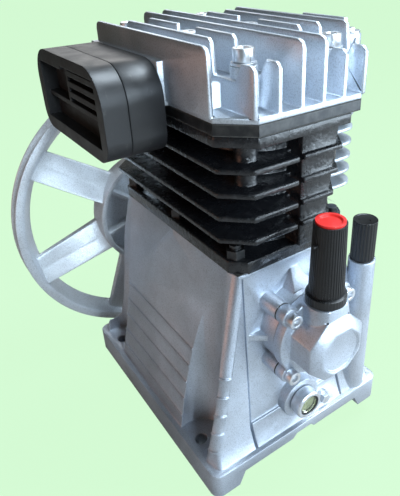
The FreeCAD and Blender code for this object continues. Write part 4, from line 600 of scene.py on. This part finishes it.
# ---------------------------------------------------------------- modelling by hand
class Bench:
    """Selecting and shaping one mesh at a time, as on a modeller's bench."""

    @staticmethod
    def clear() -> None:
        """Leave edit mode and deselect every object."""
        if bpy.context.object and bpy.context.object.mode != "OBJECT":
            bpy.ops.object.mode_set(mode="OBJECT")
        bpy.ops.object.select_all(action="DESELECT")

    @classmethod
    def take(cls, piece: bpy.types.Object) -> None:
        """Make a piece the only selected and active object."""
        cls.clear()
        piece.select_set(True)
        bpy.context.view_layer.objects.active = piece

    @classmethod
    def pick(cls, piece: bpy.types.Object, chosen: Callable[[bmesh.types.BMFace], bool]) -> None:
        """Enter edit mode with only the chosen faces selected.

        Args:
            piece: the mesh object.
            chosen: whether a face is wanted.
        """
        cls.take(piece)
        bpy.ops.object.mode_set(mode="EDIT")
        bpy.ops.mesh.select_mode(type="FACE")
        bpy.ops.mesh.select_all(action="DESELECT")
        mesh = bmesh.from_edit_mesh(piece.data)
        for face in mesh.faces:
            face.select_set(chosen(face))
        bmesh.update_edit_mesh(piece.data)

    @classmethod
    def settle(cls, piece: bpy.types.Object, smooth: float = math.radians(32)) -> None:
        """Apply the piece's place, so it sits at the origin, and smooth its round faces.

        Args:
            piece: the mesh object.
            smooth: the angle below which two faces blend.
        """
        cls.take(piece)
        bpy.ops.object.transform_apply(location=True, rotation=True, scale=True)
        bpy.ops.object.shade_smooth_by_angle(angle=smooth)

    @classmethod
    def bevel(cls, piece: bpy.types.Object, width: float, segments: int = 2,
              angle: float = math.radians(38)) -> None:
        """Round a piece's sharp edges with an applied modifier.

        Args:
            piece: the mesh object.
            width: the size of the rounding.
            segments: faces across the rounding.
            angle: edges sharper than this are rounded.
        """
        cls.take(piece)
        rounding = piece.modifiers.new("rounding", "BEVEL")
        rounding.width = width
        rounding.segments = segments
        rounding.limit_method = "ANGLE"
        rounding.angle_limit = angle
        rounding.use_clamp_overlap = False
        rounding.miter_outer = "MITER_ARC"
        bpy.ops.object.modifier_apply(modifier=rounding.name)

    @classmethod
    def drum(cls, name: str, sides: int, radius: float, low: Vector, height: float) -> bpy.types.Object:
        """Add an upright round blank.

        Args:
            name: the piece's name.
            sides: its number of sides.
            radius: its radius.
            low: the middle of its underside.
            height: its height.

        Returns:
            The new mesh object.
        """
        cls.clear()
        bpy.ops.mesh.primitive_cylinder_add(vertices=sides, radius=radius, depth=height,
                                            location=low + Vector((0, 0, height / 2)))
        blank = bpy.context.object
        blank.name = name
        blank.data.name = name
        cls.take(blank)
        bpy.ops.object.transform_apply(location=True, rotation=True, scale=True)
        return blank

    @classmethod
    def twin(cls, node: bpy.types.Object, name: str) -> bpy.types.Object:
        """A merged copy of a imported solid, with its flat faces whole again.

        Args:
            node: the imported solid.
            name: the copy's name.

        Returns:
            The new mesh object.
        """
        copy = bpy.data.objects.new(name, node.data.copy())
        copy.data.name = name
        copy.matrix_world = node.matrix_world
        bpy.context.collection.objects.link(copy)
        cls.take(copy)
        bpy.ops.object.mode_set(mode="EDIT")
        bpy.ops.mesh.select_mode(type="VERT")
        bpy.ops.mesh.select_all(action="SELECT")
        bpy.ops.mesh.remove_doubles(threshold=MERGE)
        bpy.ops.mesh.dissolve_limited(angle_limit=FLAT)
        bpy.ops.object.mode_set(mode="OBJECT")
        return copy


@dataclass(frozen=True)
class Turning:
    """A round piece made by spinning its half outline."""

    outline: tuple[tuple[float, float], ...]
    steps: int = 64

    def build(self, name: str, centre: Vector, axis: Vector = Vector((0, 0, 1))) -> bpy.types.Object:
        """Spin the outline, given in millimetres as radius and station, about an axis.

        Args:
            name: the piece's name.
            centre: the point where the station is zero.
            axis: the direction of rising stations.

        Returns:
            The new mesh object.
        """
        side = axis.orthogonal().normalized()
        points = [centre + (side * radius + axis * station) * MM for radius, station in self.outline]
        mesh = bpy.data.meshes.new(name)
        mesh.from_pydata(points, [(n, n + 1) for n in range(len(points) - 1)], [])
        piece = bpy.data.objects.new(name, mesh)
        bpy.context.collection.objects.link(piece)
        Bench.take(piece)
        bpy.ops.object.mode_set(mode="EDIT")
        bpy.ops.mesh.select_all(action="SELECT")
        bpy.ops.mesh.spin(steps=self.steps, angle=math.tau, center=centre, axis=axis)
        bpy.ops.mesh.select_all(action="SELECT")
        bpy.ops.mesh.remove_doubles(threshold=MERGE)
        bpy.ops.mesh.normals_make_consistent(inside=False)
        bpy.ops.object.mode_set(mode="OBJECT")
        return piece


def fluted(piece: bpy.types.Object, centre: Vector, sides: int, groove: float, depth: float) -> None:
    """Sink every second side face of a round blank into a flute.

    Args:
        piece: the blank.
        centre: a point on its axis.
        sides: its number of sides.
        groove: the land left at each side of a flute, in metres.
        depth: the flute's depth, in metres.
    """
    def on_flute(face: bmesh.types.BMFace) -> bool:
        """Whether a face is one of every second side."""
        if abs(face.normal.z) > ON_SIDE:
            return False
        way = face.calc_center_median() - centre
        return int((math.atan2(way.y, way.x) / math.tau % 1) * sides) % 2 == 0

    Bench.pick(piece, on_flute)
    bpy.ops.mesh.inset(thickness=groove, depth=-depth, use_individual=True)
    bpy.ops.object.mode_set(mode="OBJECT")


def joined(pieces: list[bpy.types.Object]) -> bpy.types.Object:
    """Join pieces into the first of them."""
    Bench.clear()
    for piece in pieces:
        piece.select_set(True)
    bpy.context.view_layer.objects.active = pieces[0]
    bpy.ops.object.join()
    return pieces[0]


def drilled(piece: bpy.types.Object, places: list[Vector], radius: float, depth: float,
            turn: tuple[float, float, float] = (0, 0, 0)) -> None:
    """Drill small holes centred at places, with an applied boolean.

    Args:
        piece: the mesh object.
        places: the middles of the holes' mouths.
        radius: their radius.
        depth: their depth each way.
        turn: the drill's rotation.
    """
    drills = []
    for place in places:
        Bench.clear()
        bpy.ops.mesh.primitive_cylinder_add(vertices=20, radius=radius, depth=2 * depth, location=place,
                                            rotation=turn)
        drills.append(bpy.context.object)
    drill = joined(drills)
    Bench.take(piece)
    cut = piece.modifiers.new("drill", "BOOLEAN")
    cut.operation = "DIFFERENCE"
    cut.solver = "EXACT"
    cut.object = drill
    bpy.ops.object.modifier_apply(modifier=cut.name)
    bpy.data.objects.remove(drill)


@dataclass(frozen=True)
class Register:
    """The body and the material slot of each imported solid."""

    bodies: dict[str, str]
    slots: dict[str, str]

    def enter(self, piece: bpy.types.Object, node: str) -> None:
        """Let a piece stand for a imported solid.

        Args:
            piece: the new piece.
            node: the solid that it stands for.
        """
        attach(piece, self.bodies[node])
        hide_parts(node)


@dataclass
class BreatherTube:
    """The fluted breather tube with its collar and the spigot in the neck."""

    sides: int = 80
    spigot: float = 11.0
    collar: float = 7.0
    collar_radius: float = 13.0
    foot_radius: float = 12.3
    mouth_radius: float = 10.9
    wall: float = 2.3
    land: float = 0.12
    flute: float = 0.4
    hole_drop: float = 14.0
    hole_radius: float = 1.3
    hole_depth: float = 3.5
    bore_depth: float = 6.0
    spigot_radius: float = 7.9
    collar_flat: float = 4.6
    collar_foot_round: float = 0.6
    collar_top_round: float = 0.7
    collar_shoulder: float = 6.2
    sink: float = 0.4
    gap: float = 0.2

    def collar_outline(self) -> tuple[tuple[float, float], ...]:
        """Half outline of the spigot and the collar."""
        top = self.collar + self.sink
        return ((0, -self.spigot), (self.spigot_radius, -self.spigot), (self.spigot_radius, 0),
                (self.collar_radius - self.collar_foot_round, 0),
                (self.collar_radius, self.collar_foot_round), (self.collar_radius, self.collar_flat),
                (self.collar_radius - self.collar_top_round, self.collar_shoulder),
                (self.foot_radius - self.gap, top), (0, top))

    def build(self, shop: Paintshop, register: Register) -> None:
        """Model the tube and let it stand for its solid.

        Args:
            shop: where the finishes come from.
            register: the solids' bodies and slots.
        """
        low, high = (Vector(corner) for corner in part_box("breather_tube"))
        axis = (low + high) / 2
        seat = Vector((axis.x, axis.y, low.z + self.spigot * MM))
        foot = seat + Vector((0, 0, self.collar * MM))
        tube = Bench.drum("breather_tube_fluted", self.sides, self.foot_radius * MM, foot, high.z - foot.z)
        Bench.pick(tube, lambda face: face.normal.z > FACING_UP)
        ratio = self.mouth_radius / self.foot_radius
        bpy.ops.transform.resize(value=(ratio, ratio, 1), center_override=(axis.x, axis.y, high.z))
        bpy.ops.object.mode_set(mode="OBJECT")
        fluted(tube, axis, self.sides, self.land * MM, self.flute * MM)
        Bench.pick(tube, lambda face: face.normal.z > FACING_UP)
        bpy.ops.mesh.inset(thickness=self.wall * MM)
        bpy.ops.mesh.extrude_region_move(TRANSFORM_OT_translate={"value": (0, 0, -self.bore_depth * MM)})
        bpy.ops.object.mode_set(mode="OBJECT")
        hole = Vector((axis.x - self.mouth_radius * MM, axis.y, high.z - self.hole_drop * MM))
        drilled(tube, [hole], self.hole_radius * MM, self.hole_depth * MM, (0, math.pi / 2, 0))
        collar = Turning(self.collar_outline()).build("breather_collar", seat)
        piece = joined([tube, collar])
        Bench.settle(piece)
        shop.dress(piece, Finish.CAP_PLASTIC)
        register.enter(piece, "breather_tube")
        LOG.info("breather tube, %d faces", len(piece.data.polygons))


@dataclass
class FillerPlug:
    """The fluted oil filler plug, its grooved stem and its round dipstick."""

    sides: int = 44
    radius: float = 9.4
    height: float = 33.0
    stem: float = 16.0
    stem_radius: float = 6.3
    pitch: float = 1.6
    land: float = 0.18
    flute: float = 0.45
    thread_depth: float = 0.7
    lead: float = 1.5
    stem_foot: float = 0.8
    dipstick_radius: float = 1.8
    dipstick_length: float = 46.0
    dipstick_tip: float = 0.8
    rim: float = 0.9
    dish_edge: float = 0.6
    dish_depth: float = 0.4
    edge: float = 0.25
    dot_radius: float = 0.7
    dot_depth: float = 1.8
    dots: tuple[tuple[float, float], ...] = ((-3.5, 3.5), (1.5, -3.0))
    stem_steps: int = 40

    def stem_outline(self) -> tuple[tuple[float, float], ...]:
        """Half outline of the stem, its thread and the dipstick."""
        neck, inside = self.stem_radius - 0.1, 0.4
        points = [(0.0, inside), (neck, inside), (neck, -self.lead)]
        station = -self.lead - 0.5
        while station > -self.stem + self.lead:
            points += [(self.stem_radius, station),
                       (self.stem_radius - self.thread_depth, station - self.pitch / 2)]
            station -= self.pitch
        low, end = -self.stem, -self.stem - self.dipstick_length
        points += [(self.stem_radius - self.stem_foot, low), (self.dipstick_radius, low - 0.6),
                   (self.dipstick_radius, end + self.dipstick_tip), (1.2, end), (0.0, end)]
        return tuple(points)

    def build(self, shop: Paintshop, register: Register) -> None:
        """Model the plug and let it stand for its solid.

        Args:
            shop: where the finishes come from.
            register: the solids' bodies and slots.
        """
        low, high = (Vector(corner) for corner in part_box("oil_filler_plug"))
        axis = (low + high) / 2
        seat = Vector((axis.x, axis.y, high.z - self.height * MM))
        cap = Bench.drum("filler_plug_fluted", self.sides, self.radius * MM, seat, self.height * MM)
        fluted(cap, axis, self.sides, self.land * MM, self.flute * MM)
        Bench.pick(cap, lambda face: face.normal.z > FACING_UP)
        bpy.ops.mesh.inset(thickness=self.rim * MM, depth=0.0)
        bpy.ops.mesh.inset(thickness=self.dish_edge * MM, depth=-self.dish_depth * MM)
        bpy.ops.object.mode_set(mode="OBJECT")
        Bench.bevel(cap, self.edge * MM, 1, math.radians(60))
        top = Vector((axis.x, axis.y, high.z))
        places = [top + Vector((x * MM, y * MM, 0)) for x, y in self.dots]
        drilled(cap, places, self.dot_radius * MM, self.dot_depth * MM)
        stem = Turning(self.stem_outline(), self.stem_steps).build("filler_stem", seat)
        piece = joined([cap, stem])
        Bench.settle(piece)
        shop.dress(piece, Finish.CAP_PLASTIC)
        register.enter(piece, "oil_filler_plug")
        LOG.info("filler plug, %d faces", len(piece.data.polygons))


@dataclass
class SoftEdges:
    """Castings and fixings whose sharp edges are rounded as cast or turned metal's are."""

    widths: dict[str, float] = field(default_factory=lambda: {
        "crankcase": 0.3,
        "front_cap": 0.9,
        "cylinder_head": 0.8,
        "cooler": 0.6,
        "flywheel": 0.8,
        "cylinder_block": 0.8,
        "filter_housing": 0.8,
        "head_bolts": 0.7,
        "front_cap_screws": 0.6,
    })

    def build(self, nodes: dict[str, bpy.types.Object], register: Register, shop: Paintshop) -> None:
        """Make each rounded copy and let it stand for its solid.

        Args:
            nodes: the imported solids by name.
            register: the solids' bodies and slots.
            shop: where the finishes come from.
        """
        finish_of = {name: finish for finish, names in FINISHES.items() for name in names}
        for name, width in self.widths.items():
            piece = Bench.twin(nodes[name], name + "_rounded")
            Bench.bevel(piece, width * MM)
            Bench.settle(piece)
            shop.dress(piece, finish_of[name])
            register.enter(piece, name)
            LOG.info("%s rounded by %.1f mm, %d faces", name, width, len(piece.data.polygons))


# ---------------------------------------------------------------- plain nodes
FINISHES: dict[Finish, tuple[str, ...]] = {
    Finish.CASE: ("crankcase", "front_cap"),
    Finish.HEAD: ("cylinder_head", "cooler"),
    Finish.WHEEL: ("flywheel",),
    Finish.BLOCK: ("cylinder_block",),
    Finish.PLATED: ("front_cap_screws", "flywheel_washer", "flywheel_nut", "head_bolts",
                    "head_washers", "cooler_screws", "cooler_plug", "sight_glass_body", "drain_plug"),
    Finish.GROUND: ("front_bearing_inner_ring", "front_bearing_outer_ring", "rear_bearing_inner_ring",
                    "rear_bearing_outer_ring", "crankshaft", "flywheel_key", "intake_reeds",
                    "discharge_reeds", "piston_front_rings", "piston_rear_rings", "wrist_pin_front",
                    "wrist_pin_rear"),
    Finish.PISTON: ("piston_front", "piston_rear"),
    Finish.GASKET: ("crankcase_gasket", "front_cap_gasket", "plate_gasket", "head_gasket"),
    Finish.RUBBER: ("rear_oil_seal", "oil_filler_seal", "sight_glass_seal"),
    Finish.CAP_PLASTIC: ("breather_tube", "oil_filler_plug"),
    Finish.RED: ("breather_cap",),
    Finish.PLASTIC: ("filter_housing", "filter_cover"),
    Finish.FELT: ("filter_element",),
    Finish.BLACKENED: ("valve_plate", "block_nuts"),
    Finish.BRASS: ("discharge_fitting",),
    Finish.REFLECTOR: ("sight_glass_reflector",),
    Finish.LENS: ("sight_glass_lens",),
}


def dress_nodes(nodes: dict[str, bpy.types.Object], shop: Paintshop) -> None:
    """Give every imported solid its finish.

    Args:
        nodes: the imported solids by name.
        shop: where the finishes come from.
    """
    for finish, names in FINISHES.items():
        for name in names:
            shop.dress(nodes[name], finish)
            LOG.info("%s in %s", name, finish.name)


def main() -> None:
    """Dress the pump and set the studio."""
    logging.basicConfig(level=logging.INFO)
    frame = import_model()
    shop = Paintshop()
    dress_nodes(frame["nodes"], shop)
    bodies = {node: body for body, held in frame["record"]["behaviour"]["bodies"].items() for node in held}
    slots = {part["node"]: part["material_slot"] for part in frame["record"]["subparts"]}
    register = Register(bodies, slots)
    SoftEdges().build(frame["nodes"], register, shop)
    BreatherTube().build(shop, register)
    FillerPlug().build(shop, register)
    Studio().build()


if __name__ == "__main__":
    main()
